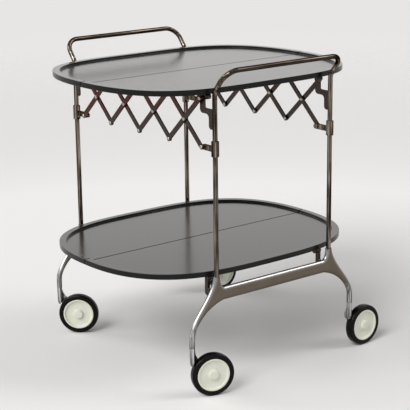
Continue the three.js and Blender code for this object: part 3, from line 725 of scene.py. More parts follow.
def chrome_finish(colours):
    """Bright plating on drawn tube, with painted reflections streaked faintly along it and cloudy patches,
    and painted shade that darkens the grips.
    """
    # The low specular tint darkens the grazing edges of the tubes, as painted shade.
    finish = Finish("chrome_plate", Metallic=1.0, Specular_Tint=(0.3, 0.29, 0.28))
    # Painted reflection: noise streaks along the uprights, and along the grips above their height, stand in
    # for a lit and shaded floor reflected in the chrome.
    upright = finish.noise(330.0, 2.0, stretch=(1.0, 1.0, 0.03))
    level = finish.noise(330.0, 2.0, stretch=(1.0, 0.03, 1.0))
    grip = finish.ramp(finish.axis("Z"), (0.655, 0.0), (0.685, 1.0))
    reflection_streaks = finish.fade(grip, upright, level)
    clouds = finish.noise(17.0, 4.0)
    shade = finish.ramp(reflection_streaks * 0.75 + clouds * 0.25, (0.42, 0.0), (0.51, 0.35), (0.61, 1.0))
    grain = finish.noise(900.0, 2.0)
    return finish.feed(
        # The shade mix paints the reflection between the dark and the bright chrome, and paints the grips
        # darker as shade.
        Base_Color=finish.mix(shade * (1 - grip * 0.72), colours.chrome_dark_reflection, colours.chrome),
        Roughness=0.04 + 0.07 * clouds + 0.03 * grain,
        Normal=finish.bump(clouds, 0.0004, 0.15))


def steel_finish(colours):
    """Dark plated flat steel, with a little warm red-brown in random patches and small scuffs."""
    finish = Finish("dark_plated_steel", Metallic=1.0)
    return feed_steel(finish, colours, lambda tarnish: tarnish * 0.3)


def link_finish(colours):
    """The same steel on the scissor links, with a painted red-brown reflection on the left side and towards
    their tops.

    The painted red starts lower towards the rear.
    """
    finish = Finish("scissor_steel", Metallic=1.0)
    # Painted reflection: the red-brown goes on the left side and towards the links' tops, starting lower
    # towards the rear.
    left = finish.ramp(finish.axis("Y") + 0.5, (0.45, 1.0), (0.55, 0.3))
    level = finish.axis("Z") - 0.22 * finish.axis("X")
    upper = finish.ramp(level, (scissor_cross.z - 0.020, 0.0), (scissor_cross.z + 0.008, 1.0))
    return feed_steel(finish, colours, lambda tarnish: finish.fade(0.75, tarnish, upper) * left)


def feed_steel(finish, colours, tint):
    """Feeds one of the steel finishes, whose red-brown share the tint gives from the random patches, and on
    the links also from a painted reflection.
    """
    patches = finish.noise(24.0)
    tarnish = finish.ramp(patches, (0.40, 0.0), (0.66, 1.0))
    scuffs = finish.ramp(finish.noise(420.0, roughness=0.7), (0.60, 0.0), (0.72, 1.0))
    base = finish.mix(tint(tarnish), colours.steel, colours.steel_tarnish_and_reflection)
    return finish.feed(
        Base_Color=finish.mix(scuffs * 0.5, base, colours.chrome),
        Roughness=0.20 + 0.14 * patches + 0.12 * scuffs,
        Normal=finish.bump(finish.noise(700.0), 0.0001, 0.2))


def rivet_finish(colours):
    """Bright worn metal of the rivets."""
    finish = Finish("bright_rivets", Metallic=1.0)
    wear = finish.noise(520.0)
    return finish.feed(
        Base_Color=finish.mix(wear, colours.rivet_shade, colours.rivet),
        Roughness=0.16 + 0.2 * wear,
        Normal=finish.bump(wear, 0.0001, 0.3))


def casting_finish(colours):
    """Cast aluminium, with satin faces, a painted highlight on the upward rounded edges and painted
    reflection streaks on the stems.
    """
    # The low specular tint darkens the grazing edges, as painted shade.
    finish = Finish("casting_with_painted_highlights", Metallic=1.0, Specular_Tint=(0.5, 0.49, 0.48))
    # Painted reflection: bright and dark streaks along the stems.
    reflection_streaks = finish.ramp(finish.noise(300.0, 2.0, stretch=(1.0, 1.0, 0.05)), (0.42, 0.0), (0.62, 1.0))
    clouds = finish.noise(21.0, 4.0)
    outward, upward = finish.axis("X", "Normal"), finish.axis("Z", "Normal")
    # Painted highlight: rounded edges that face up get the bright colour, as if lit from above, while faces
    # and lower edges keep the shade colour.
    edges = finish.ramp(outward.math("ABSOLUTE", outward), (0.84, 1.0), (0.995, 0.0))
    painted_edge_highlight = edges * finish.ramp(upward + 0.5, (0.30, 0.0), (0.62, 1.0))
    above_stems = finish.ramp(finish.axis("Z"), (0.125, 0.0), (0.165, 1.0))
    shade = finish.fade(above_stems, reflection_streaks, painted_edge_highlight * 0.32 + clouds * 0.10)
    marks = finish.noise(340.0, stretch=(1.0, 0.12, 1.0))
    pits = finish.ramp(finish.noise(1500.0, 1.0), (0.16, 1.0), (0.24, 0.0))
    return finish.feed(
        # The mix paints the light and shade between the shade colour and the bright casting colour.
        Base_Color=finish.mix(shade, colours.casting_shade, colours.casting),
        Roughness=0.20 + 0.10 * marks + 0.08 * clouds,
        Normal=finish.bump(marks * 0.3 - pits * 0.5, 0.0001, 0.3))


def tray_finish(colours):
    """Charcoal moulded plastic with a fine grain, a film of wear and light scratches."""
    finish = Finish("moulded_plastic", IOR=1.27, Coat_IOR=1.3, Coat_Roughness=0.16)
    film = finish.noise(7.0, 5.0, roughness=0.62)
    grain = finish.noise(1900.0, 2.0)
    scratches = finish.ramp(finish.noise(46.0, 6.0, (1.0, 0.08, 1.0), 0.7), (0.64, 0.0), (0.70, 1.0))
    dull = finish.ramp(film, (0.36, 0.0), (0.68, 1.0))
    grazing = finish.ramp(finish.node("ShaderNodeLayerWeight", {}, {}, "Facing"), (0.45, 0.0), (0.68, 1.0))
    level = finish.ramp(finish.axis("Z", "Normal"), (0.55, 0.0), (0.90, 1.0))
    return finish.feed(
        Base_Color=finish.mix(dull * 0.55 + scratches * 0.2, colours.tray, colours.tray_dust),
        Roughness=0.16 + 0.10 * film + 0.10 * scratches,
        Coat_Weight=grazing * level,
        Normal=finish.bump(grain * 0.6 + film * 0.4, 0.00012, 0.15))


def seam_finish(colours):
    """Matt cut plastic of the faces along the seams."""
    finish = Finish("seam_plastic", Specular_IOR_Level=0.0, Roughness=0.9)
    wear = finish.noise(60.0)
    return finish.feed(
        Base_Color=finish.mix(wear, colours.tray, colours.tray_dust),
        Normal=finish.bump(wear, 0.0001, 0.2))


def rubber_finish(colours):
    """Black tyre rubber with a worn, slightly dusty tread."""
    finish = Finish("tyre_rubber", IOR=1.21)
    dust = finish.noise(90.0, 4.0, roughness=0.6)
    dusty = finish.ramp(dust, (0.5, 0.0), (0.8, 1.0))
    return finish.feed(
        Base_Color=finish.mix(dusty, colours.rubber, colours.rubber_dust),
        Roughness=0.13 + 0.16 * dust,
        Normal=finish.bump(finish.noise(1400.0, 2.0), 0.00008, 0.3))


def nylon_finish(colours):
    """Pale moulded nylon with faint yellowing."""
    finish = Finish("pale_nylon", IOR=1.5)
    age = finish.noise(38.0)
    return finish.feed(
        Base_Color=finish.mix(age * 0.6, colours.nylon, colours.nylon_aged),
        Roughness=0.36 + 0.14 * age,
        Normal=finish.bump(finish.noise(1200.0, 2.0), 0.00006, 0.25))


makers = {
    "chrome_steel": chrome_finish,
    "dark_steel": steel_finish,
    "scissor_links": link_finish,
    "rivets": rivet_finish,
    "cast_aluminium": casting_finish,
    "tray_plastic": tray_finish,
    "seam_faces": seam_finish,
    "tyre_rubber": rubber_finish,
    "pale_nylon": nylon_finish,
}
finishes = {}


def finish_for(slot):
    """The material of a slot or of a part of one, made once."""
    if slot not in finishes:
        finishes[slot] = makers[slot](bpy.context.scene.trolley.colours).material
    return finishes[slot]


# Pieces on the frame

def show(prefix, node, mesh, slot, place=Matrix.Identity(4), edge=0.0):
    """Puts a mesh in the place of a CAD node, on its body."""
    piece = add(f"{prefix}_{node}", frame["nodes"][node]["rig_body"], mesh, slot, place, edge)
    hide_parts(node)
    return piece


def new_object(name, data):
    """Adds an object to the scene."""
    made = bpy.data.objects.new(name, data)
    bpy.context.scene.collection.objects.link(made)
    return made


def add(name, body, mesh, slot, place, edge=0.0):
    """Adds a mesh as a piece that rides on a body, with its finish."""
    piece = new_object(name, mesh)
    if not mesh.materials:
        mesh.materials.append(finish_for(slot))
    piece.matrix_world = place
    if edge > 0:
        bevel = piece.modifiers.new("rounded_edges", "BEVEL")
        bevel.width = edge
        bevel.segments = 2
        bevel.limit_method = "ANGLE"
        bevel.angle_limit = SHARP_ANGLE
        bevel.harden_normals = True
    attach(piece, body)
    return piece


def ends():
    """Each end's name and turn, and the names that the front end's sides get once turned."""
    yield "front", Matrix.Identity(4), {-1: "left", 1: "right"}
    yield "rear", Matrix.Rotation(math.pi, 4, "Z"), {-1: "right", 1: "left"}


class TROLLEY_OT_handles(bpy.types.Operator):
    """Make both bent handle tubes"""
    bl_idname = "trolley.handles"
    bl_label = "Handle Tubes"
    bl_options = {"REGISTER", "UNDO"}

    def execute(self, context):
        trolley = context.scene.trolley
        sizes, bridge = trolley.handles, trolley.bridges
        grip = handle_top - sizes.radius
        lean_start = grip - sizes.rise
        foot = bridge.neck_top - bridge.socket_depth + CLEARANCE
        near, far = frame_x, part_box("front_handle_tube")[1].x - sizes.radius
        stops = [(near, -1, foot), (near, -1, lean_start), (far, -1, grip),
                 (far, 1, grip), (near, 1, lean_start), (near, 1, foot)]
        corners = [Vector((x, side * sizes.upright_y, z)) for x, side, z in stops]
        radii = (sizes.lean_radius, sizes.corner_radius)
        path = bent_path(corners, [*radii, *reversed(radii)])
        mesh = Shell().loft(self.rings(path, sizes.radius)).mesh("handle_tube")
        for end, place, _ in ends():
            show("chromed", f"{end}_handle_tube", mesh, "chrome_steel", place)
        return {"FINISHED"}

    @staticmethod
    def rings(path, radius):
        """Rings square to the path, which don't twist along it."""
        rings = []
        outward = Vector((1, 0, 0))
        for index, point in enumerate(path):
            ahead = (path[min(index + 1, len(path) - 1)] - path[max(index - 1, 0)]).normalized()
            outward = (outward - ahead * outward.dot(ahead)).normalized()
            across = ahead.cross(outward)
            rings.append([point + outward * u + across * v for u, v in circle((0, 0), radius, TURN_STEPS)])
        return rings


class TROLLEY_OT_bridges(bpy.types.Operator):
    """Make both cast leg bridges"""
    bl_idname = "trolley.bridges"
    bl_label = "Leg Bridges"
    bl_options = {"REGISTER", "UNDO"}

    def execute(self, context):
        trolley = context.scene.trolley
        sizes, handle, caster = trolley.bridges, trolley.handles, trolley.casters
        outline = self.outline(sizes, handle.upright_y)
        socket_radius, socket_foot = handle.radius + CLEARANCE, sizes.neck_top - sizes.socket_depth
        bore_radius = caster.kingpin_radius + SWIVEL_CLEARANCE
        bore_end = stem_foot + caster.kingpin_length + SWIVEL_CLEARANCE
        foot_edge = sizes.stem_radius + sizes.rim

        def distance(x, y, z):
            side = np.abs(y)
            flat = np.clip((z - sizes.knee) / sizes.knee_length, 0, 1)
            flat = flat * flat * (3 - 2 * flat)
            half_depth = sizes.stem_radius + (sizes.depth / 2 - sizes.stem_radius) * flat
            rounding = sizes.stem_radius + (sizes.edge_radius - sizes.stem_radius) * flat
            slope = 1 + (sizes.edge_slope - 1) * flat
            body = rounded_meeting(
                outline_distance(side, z, outline) * slope, np.abs(x - frame_x) - half_depth, rounding)
            neck = np.hypot(x - frame_x, side - handle.upright_y)
            stem = np.hypot(x - frame_x, side - stem_y)
            collar = bar(neck, sizes.neck_radius, z, sizes.beam_top, sizes.neck_top, sizes.rim)
            body = np.minimum(body, collar)
            # A wide bar, whose lower end cuts the stem off with a soft edge
            foot = bar(stem, sizes.stem_radius * 2, z, stem_foot, sizes.beam_top, foot_edge)
            body = np.where(z < sizes.knee - sizes.knee_bend, np.maximum(body, foot), body)
            body = np.maximum(body, -np.maximum(neck - socket_radius, socket_foot - z))
            return np.maximum(body, -np.maximum(stem - bore_radius, z - bore_end))

        reach = stem_y + sizes.stem_radius
        margin = sizes.cell * 2
        low = (frame_x - sizes.depth / 2 - margin, -reach - margin, stem_foot - margin)
        high = (frame_x + sizes.depth / 2 + margin, reach + margin, sizes.neck_top + margin)
        mesh = cast("leg_bridge", distance, low, high, sizes.cell)
        lug = self.lug_outline(sizes, trolley.hinges)
        hole = circle((lower_hinge.x, lower_hinge.z), trolley.hinges.strap_pin + CLEARANCE)
        for end, place, names in ends():
            show("cast", f"{end}_leg_bridge", mesh, "cast_aluminium", place)
            for side in SIDES:
                near, far = span(side, bracket_outer_y - sizes.lug_thickness, bracket_outer_y)
                name = f"plated_{end}_{names[side]}_lower_bracket"
                bracket = Shell().plate(lug, near, far, [hole]).mesh("lower_bracket")
                add(name, f"{end}_frame", bracket, "dark_steel", place, sizes.lug_edge)
        return {"FINISHED"}

    @staticmethod
    def outline(sizes, upright_y):
        """Half of the casting seen along X: beam, neck, and a leg that arches down and out.

        It runs past the middle plane, so that the halves meet without an edge, and below the stem,
        whose foot is cut off apart.
        """
        neck_in, neck_out = upright_y - sizes.neck_radius, upright_y + sizes.neck_radius
        beam_foot = sizes.beam_top - sizes.beam_height
        outer, inner = stem_y + sizes.stem_radius, stem_y - sizes.stem_radius

        def between(start, end, shares):
            """A place between two others, by its shares of the way along Y and along Z."""
            return tuple(a + (b - a) * part for a, b, part in zip(start, end, shares))

        def eased(curve, knee):
            """Turns the last corner of a curve into a soft bend down into the stem."""
            return [*curve[:-3], *bezier(curve[-3], knee, (knee[0], knee[1] - sizes.knee_bend))]

        crown, knee = (neck_out, sizes.neck_top), (outer, sizes.knee)
        foot, arch = (inner, sizes.knee), (sizes.arch_y, beam_foot)
        flare = (neck_in - sizes.neck_flare, sizes.beam_top)
        outside = bezier(crown, between(crown, knee, (0.09, 0.37)), between(crown, knee, (0.85, 0.63)), knee)
        inside = bezier(foot, between(foot, arch, (0.11, 0.44)), between(foot, arch, (0.48, 0.86)), arch)
        return [
            (-sizes.beam_height, sizes.beam_top), flare,
            *bezier(flare, (neck_in - sizes.neck_lean, sizes.beam_top), (neck_in, sizes.neck_top)), crown,
            *eased(outside, knee), (outer, stem_foot - sizes.depth),
            (inner, stem_foot - sizes.depth), *reversed(eased([*reversed(inside), foot], foot)),
            (-sizes.beam_height, beam_foot),
        ]

    @staticmethod
    def lug_outline(sizes, hinges):
        """The lower tray's bracket seen along Y, from the hinge down and across to the casting."""
        radius = hinges.strap_knuckle
        front = lower_hinge.x - radius
        right = front + sizes.lug_width
        shelf = lower_hinge.z - sizes.lug_drop
        foot = shelf - sizes.lug_shelf
        head = arc((lower_hinge.x, lower_hinge.z), radius, 0, math.pi)
        return [*head, *rounded([
            ((front, lower_hinge.z), 0), ((front, foot), sizes.lug_bend), ((frame_x, foot), 0),
            ((frame_x, shelf), 0), ((right, shelf), sizes.lug_corner),
            ((right, lower_hinge.z - radius * 0.8), sizes.lug_heel),
            ((lower_hinge.x + radius, lower_hinge.z), 0)])[1:-1]]


class TROLLEY_OT_brackets(bpy.types.Operator):
    """Make the four flat brackets of the upper tray's hinges"""
    bl_idname = "trolley.brackets"
    bl_label = "Tray Brackets"
    bl_options = {"REGISTER", "UNDO"}

    def execute(self, context):
        trolley = context.scene.trolley
        sizes = trolley.brackets
        outline, holes = self.outline(trolley)
        for side in SIDES:
            near, far = span(side, bracket_outer_y - sizes.thickness, bracket_outer_y)
            mesh = Shell().plate(outline, near, far, holes).mesh("tray_bracket")
            for end, place, names in ends():
                show("plated", f"{end}_{names[side]}_tray_bracket", mesh, "dark_steel", place, sizes.edge)
        return {"FINISHED"}

    @staticmethod
    def outline(trolley):
        """The bracket seen along Y: a rounded head with two pivots, and an S down to the upright."""
        sizes = trolley.brackets
        knuckle, link = trolley.hinges.strap_knuckle, trolley.scissors.half_width
        hinge = (tray_hinge.x, tray_hinge.z)
        pivot = (scissor_pivot.x, scissor_pivot.z)
        right = tray_hinge.x + sizes.back
        left = right - sizes.bar
        shelf = tray_hinge.z - sizes.shelf_drop
        under = shelf - sizes.shelf
        foot = tray_hinge.z - sizes.foot_drop
        post = frame_x - trolley.handles.radius / 2
        foot_x = frame_x - trolley.handles.radius - sizes.foot_depth
        head = [*arc(hinge, knuckle, 0, math.pi / 2), *arc(pivot, link, math.pi / 2, math.pi)]
        rest = rounded([
            ((left, pivot[1]), 0), ((left, under), sizes.bend), ((foot_x, under), sizes.bend),
            ((foot_x, foot), sizes.foot_bend), ((post, foot), 0), ((post, shelf), 0),
            ((right, shelf), sizes.corner), ((right, hinge[1] - knuckle), sizes.heel),
            ((hinge[0] + knuckle, hinge[1]), 0),
        ])
        holes = [circle(hinge, trolley.hinges.strap_pin + CLEARANCE),
                 circle(pivot, trolley.scissors.shank_radius + CLEARANCE)]
        return [*head, *rest[:-1]], holes


class TROLLEY_OT_sliders(bpy.types.Operator):
    """Make the four sleeves that slide on the uprights"""
    bl_idname = "trolley.sliders"
    bl_label = "Sliders"
    bl_options = {"REGISTER", "UNDO"}

    def execute(self, context):
        trolley = context.scene.trolley
        sizes, links = trolley.sliders, trolley.scissors
        foot_z = 2 * scissor_cross.z - scissor_pivot.z
        post_y = trolley.handles.upright_y
        low = foot_z + sizes.lift - sizes.height / 2
        high = low + sizes.height
        lip, cut, bore = sizes.lip, sizes.lip * 0.3, trolley.handles.radius + CLEARANCE
        sleeve = [
            (bore, low), (sizes.radius - lip, low), (sizes.radius - cut, low + cut),
            (sizes.radius, low + lip), (sizes.radius, high - lip),
            (sizes.radius - cut, high - cut), (sizes.radius - lip, high), (bore, high)]
        half = links.half_width
        foot_x = scissor_pivot.x
        root_x = frame_x - sizes.radius * 0.8
        outline = [*arc((foot_x, foot_z), half, math.pi / 2, 3 * math.pi / 2),
                   (root_x, foot_z - half), (root_x, foot_z + half)]
        for end, place, names in ends():
            outer_layer = end == "rear"
            for side in SIDES:
                near, far = span(side, bracket_outer_y - sizes.arm_thickness, bracket_outer_y)
                shell = Shell().turned(sleeve, "Z", (frame_x, side * post_y), closed=True)
                shell.plate(outline, near, far)
                if outer_layer:
                    boss_far = bracket_outer_y + CLEARANCE + links.thickness
                    near, far = span(side, bracket_outer_y - sizes.arm_thickness / 2, boss_far)
                    shell.turned([(links.head_radius, near), (links.head_radius, far)], "Y", (foot_x, foot_z))
                mesh = shell.mesh("slider")
                show("chromed", f"{end}_{names[side]}_slider", mesh, "chrome_steel", place, sizes.edge)
        return {"FINISHED"}


class TROLLEY_OT_trays(bpy.types.Operator):
    """Make both halves of both trays"""
    bl_idname = "trolley.trays"
    bl_label = "Trays"
    bl_options = {"REGISTER", "UNDO"}

    def execute(self, context):
        trolley = context.scene.trolley
        sizes = trolley.trays
        for level, powers in (("upper", sizes.upper), ("lower", sizes.lower)):
            low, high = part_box(f"{level}_front_tray")
            rings = [self.ring(sizes, powers, high, inset, low.z + rise)
                     for inset, rise in self.profile(sizes)]
            mesh = self.half(sizes, rings)
            for end, place, _ in ends():
                tray = show("moulded", f"{level}_{end}_tray", mesh, "tray_plastic", place)
                tray.modifiers.new("even_faces", "WEIGHTED_NORMAL").keep_sharp = True
        return {"FINISHED"}

    @staticmethod
    def profile(sizes):
        """Pairs of inset and height across the rim, from the underside round the edge to the floor."""
        floor = tray_edge_height - sizes.floor_drop
        top = floor + sizes.rim_rise
        edge, lip, fillet = sizes.edge_radius, sizes.rim_radius, sizes.well_fillet
        quarter = math.pi / 2
        arcs = (((edge, edge), edge, -quarter, -2 * quarter),
                ((edge, top - edge), edge, 2 * quarter, quarter),
                ((sizes.rim_width - lip, top - lip), lip, quarter, 0),
                ((sizes.rim_width + fillet, floor + fillet), fillet, 2 * quarter, 3 * quarter))
        return [point for shape in arcs for point in arc(*shape, CORNER_STEPS - 1)]

    @staticmethod
    def ring(sizes, powers, corner, inset, height):
        """One line round half of a tray, from the seam's left end to its right end."""
        points = []
        floor = corner.z - sizes.floor_drop
        groove = (floor - sizes.groove_depth, floor)
        seam = np.interp(height, groove, (SEAM_CLEARANCE, sizes.seam_groove))
        for angle in np.linspace(-math.pi / 2, math.pi / 2, sizes.steps):
            x = (corner.x - inset) * abs(math.cos(angle)) ** (2 / powers[0])
            y = (corner.y - inset) * math.copysign(abs(math.sin(angle)) ** (2 / powers[1]), angle)
            points.append((max(x, seam), y, height))
        return points

    @staticmethod
    def half(sizes, rings):
        """Closes the rings with the underside, the floor and a matt face along the seam."""
        bm = bmesh.new()
        rows = [[bm.verts.new(point) for point in ring] for ring in rings]
        for low, high in zip(rows, rows[1:]):
            for index in range(len(low) - 1):
                bm.faces.new((low[index], low[index + 1], high[index + 1], high[index]))
        bm.faces.new(rows[0])
        bm.faces.new(rows[-1])
        seam = bm.faces.new([row[0] for row in rows] + [row[-1] for row in reversed(rows)])
        bmesh.ops.recalc_face_normals(bm, faces=bm.faces)
        bmesh.ops.bevel(bm, geom=list(seam.edges), offset=sizes.seam_edge, segments=3, profile=0.5,
                        affect="EDGES", clamp_overlap=False)
        mesh = bpy.data.meshes.new("tray_half")
        bm.to_mesh(mesh)
        bm.free()
        mesh.materials.append(finish_for("tray_plastic"))
        mesh.materials.append(finish_for("seam_faces"))
        for polygon in mesh.polygons:
            faces_seam = polygon.normal.x < -SEAM_FACING
            if faces_seam and polygon.center.x < sizes.seam_groove + sizes.seam_edge:
                polygon.material_index = 1
        return smoothed(mesh)


class TROLLEY_OT_hinges(bpy.types.Operator):
    """Make the centre hinges under the seams and the straps under the trays"""
    bl_idname = "trolley.hinges"
    bl_label = "Hinges"
    bl_options = {"REGISTER", "UNDO"}

    def execute(self, context):
        trolley = context.scene.trolley
        sizes = trolley.hinges
        drop = centre_hinge.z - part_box("upper_front_tray")[0].z
        levels = {"upper": (tray_hinge, trolley.brackets.thickness),
                  "lower": (lower_hinge, trolley.bridges.lug_thickness)}
        for level, (hinge, carrier) in levels.items():
            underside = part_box(f"{level}_front_tray")[0].z
            for end, place, names in ends():
                mesh = self.leaf(sizes, underside + drop, end == "front")
                show("plated", f"{level}_{end}_hinge_leaf", mesh, "dark_steel", place, sizes.leaf_edge)
                for side in SIDES:
                    mesh = self.strap(sizes, side, hinge, carrier, underside)
                    name = f"{level}_{end}_{names[side]}_strap"
                    show("plated", name, mesh, "dark_steel", place, sizes.strap_edge)
        return {"FINISHED"}

    @staticmethod
    def screw(shell, sizes, x, y, z):
        """A low round head under a plate."""
        profile = [(sizes.screw_radius * r, z - sizes.screw_radius * h) for r, h in SCREW_SHARES]
        shell.turned(profile, "Z", (x, y), steps=RIVET_STEPS)

    def leaf(self, sizes, axis_z, owns_pin):
        """A plate with every second knuckle. The leaf that owns the pin carries it through both."""
        pitch = 2 * sizes.half_length / sizes.knuckles
        top = axis_z + sizes.knuckle_radius + CLEARANCE
        clear_x = sizes.knuckle_radius + LAYER_CLEARANCE + CLEARANCE
        low_z = top - sizes.leaf_thickness
        half = sizes.half_length
        shell = Shell().block((clear_x, -half, low_z), (sizes.leaf_width, half, top))
        bore = sizes.pin_radius + (0 if owns_pin else CLEARANCE)
        for index in range(0, sizes.knuckles, 2):
            near = index * pitch - half + CLEARANCE / 2
            far = near + pitch - CLEARANCE
            wall = [(bore, near), (sizes.knuckle_radius, near), (sizes.knuckle_radius, far), (bore, far)]
            shell.turned(wall, "Y", (0, axis_z), closed=True, steps=RIVET_STEPS)
            shell.block((sizes.pin_radius * 1.6, near, low_z), (clear_x + sizes.leaf_thickness, far, top))
        if owns_pin:
            pin = [(sizes.pin_radius, -half), (sizes.pin_radius, half)]
            shell.turned(pin, "Y", (0, axis_z), steps=RIVET_STEPS)
        for index in range(sizes.knuckles):
            middle = (index + 0.5) * pitch - half
            self.screw(shell, sizes, sizes.leaf_width * LEAF_SCREWS, middle, low_z)
        return shell.mesh("hinge_leaf")

    def strap(self, sizes, side, hinge, carrier, underside):
        """A flat bar with a knuckle at its end and the pin that turns in the bracket or lug."""
        top = underside - CLEARANCE
        outer = bracket_outer_y - carrier - CLEARANCE
        near, far = span(side, outer - sizes.strap_width, outer)
        pin = [(sizes.strap_pin, y)
               for y in span(side, outer - sizes.strap_width / 2, bracket_outer_y - CLEARANCE)]
        low_z = top - sizes.strap_thickness
        centre = (hinge.x, hinge.z)
        end_x = hinge.x - sizes.strap_length
        middle = (near + far) / 2
        shell = Shell().turned([(sizes.strap_knuckle, near), (sizes.strap_knuckle, far)], "Y", centre)
        shell.block((end_x, near, low_z), (hinge.x, far, top))
        shell.turned(pin, "Y", centre, steps=RIVET_STEPS)
        for along in STRAP_SCREWS:
            self.screw(shell, sizes, end_x + sizes.strap_length * along, middle, low_z)
        return shell.mesh("strap")


class TROLLEY_OT_scissors(bpy.types.Operator):
    """Make the scissor links with their rivets"""
    bl_idname = "trolley.scissors"
    bl_label = "Scissor Links"
    bl_options = {"REGISTER", "UNDO"}

    # What each link holds at its rear end, its middle and its front end, with the rearmost link first
    falling = (("pin", "hole", "hole"), ("hole", "hole", "inner"), ("inner", "hole", "hole"),
               ("hole", "hole", "outer"))
    rising = (("outer", "rivet", "rivet"), ("rivet", "rivet", "outer"), ("outer", "rivet", "rivet"),
              ("rivet", "rivet", "pin"))

    def execute(self, context):
        trolley = context.scene.trolley
        sizes = trolley.scissors
        half_cell = scissor_pivot - scissor_cross
        tilt = math.atan2(half_cell.z, half_cell.x)
        reach = half_cell.length
        for side, cell in itertools.product(SIDES, range(len(self.falling))):
            name = "left" if side < 0 else "right"
            middle = joint_places[f"scissor_cross_{cell + 1}"]
            for kind, layer, pivots, lean in (("falling", 0, self.falling[cell], tilt),
                                              ("rising", 1, self.rising[cell], -tilt)):
                place = Matrix.Translation(middle) @ Matrix.Rotation(lean, 4, "Y")
                mesh = self.link(sizes, trolley.brackets, side, layer, reach, pivots)
                mesh.transform(place)
                show("riveted", f"{name}_{kind}_link_{cell + 1}", mesh, "dark_steel", edge=sizes.edge)
        return {"FINISHED"}

    def link(self, sizes, brackets, side, layer, reach, pivots):
        """A flat bar about its middle, with what each of its three pivots holds."""
        layer_start = bracket_outer_y + CLEARANCE
        inner = layer_start + layer * (sizes.thickness + LAYER_CLEARANCE)
        outer = inner + sizes.thickness
        outline = [*arc((reach, 0), sizes.half_width, -math.pi / 2, math.pi / 2),
                   *arc((-reach, 0), sizes.half_width, math.pi / 2, 3 * math.pi / 2)]
        places = (-reach, 0, reach)
        holes = [circle((x, 0), sizes.shank_radius + CLEARANCE)
                 for x, kind in zip(places, pivots) if kind == "hole"]
        shell = Shell().plate(outline, *span(side, inner, outer), holes)
        plate_faces = len(shell.bm.faces)
        for x, kind in zip(places, pivots):
            if kind in ("rivet", "outer", "pin"):
                self.head(shell, sizes, side, x, outer, sizes.head_rise)
            if kind == "rivet":
                tail = layer_start - CLEARANCE
                self.drum(shell, side, x, sizes.shank_radius, tail - sizes.tail_rise / 2, outer)
                self.head(shell, sizes, side, x, tail, -sizes.tail_rise)
            if kind == "inner":
                self.head(shell, sizes, side, x, inner, CLEARANCE - sizes.tail_rise)
            if kind == "pin":
                self.drum(shell, side, x, sizes.shank_radius, bracket_outer_y - brackets.thickness, outer)
                if layer:
                    self.drum(shell, side, x, sizes.head_radius, layer_start, inner + CLEARANCE)
        mesh = shell.mesh("link")
        mesh.materials.append(finish_for("scissor_links"))
        mesh.materials.append(finish_for("rivets"))
        for polygon in mesh.polygons[plate_faces:]:
            polygon.material_index = 1
        return mesh

    @staticmethod
    def drum(shell, side, x, radius, near, far):
        """A round shank or boss between two distances from the middle plane."""
        shell.turned([(radius, side * near), (radius, side * far)], "Y", (x, 0), steps=RIVET_STEPS)

    @staticmethod
    def head(shell, sizes, side, x, base, rise):
        """A domed head that stands on a face, with a dimple where it was set."""
        profile = [(sizes.head_radius * r, side * (base + rise * h)) for r, h in RIVET_SHARES]
        shell.turned(profile, "Y", (x, 0), steps=RIVET_STEPS)


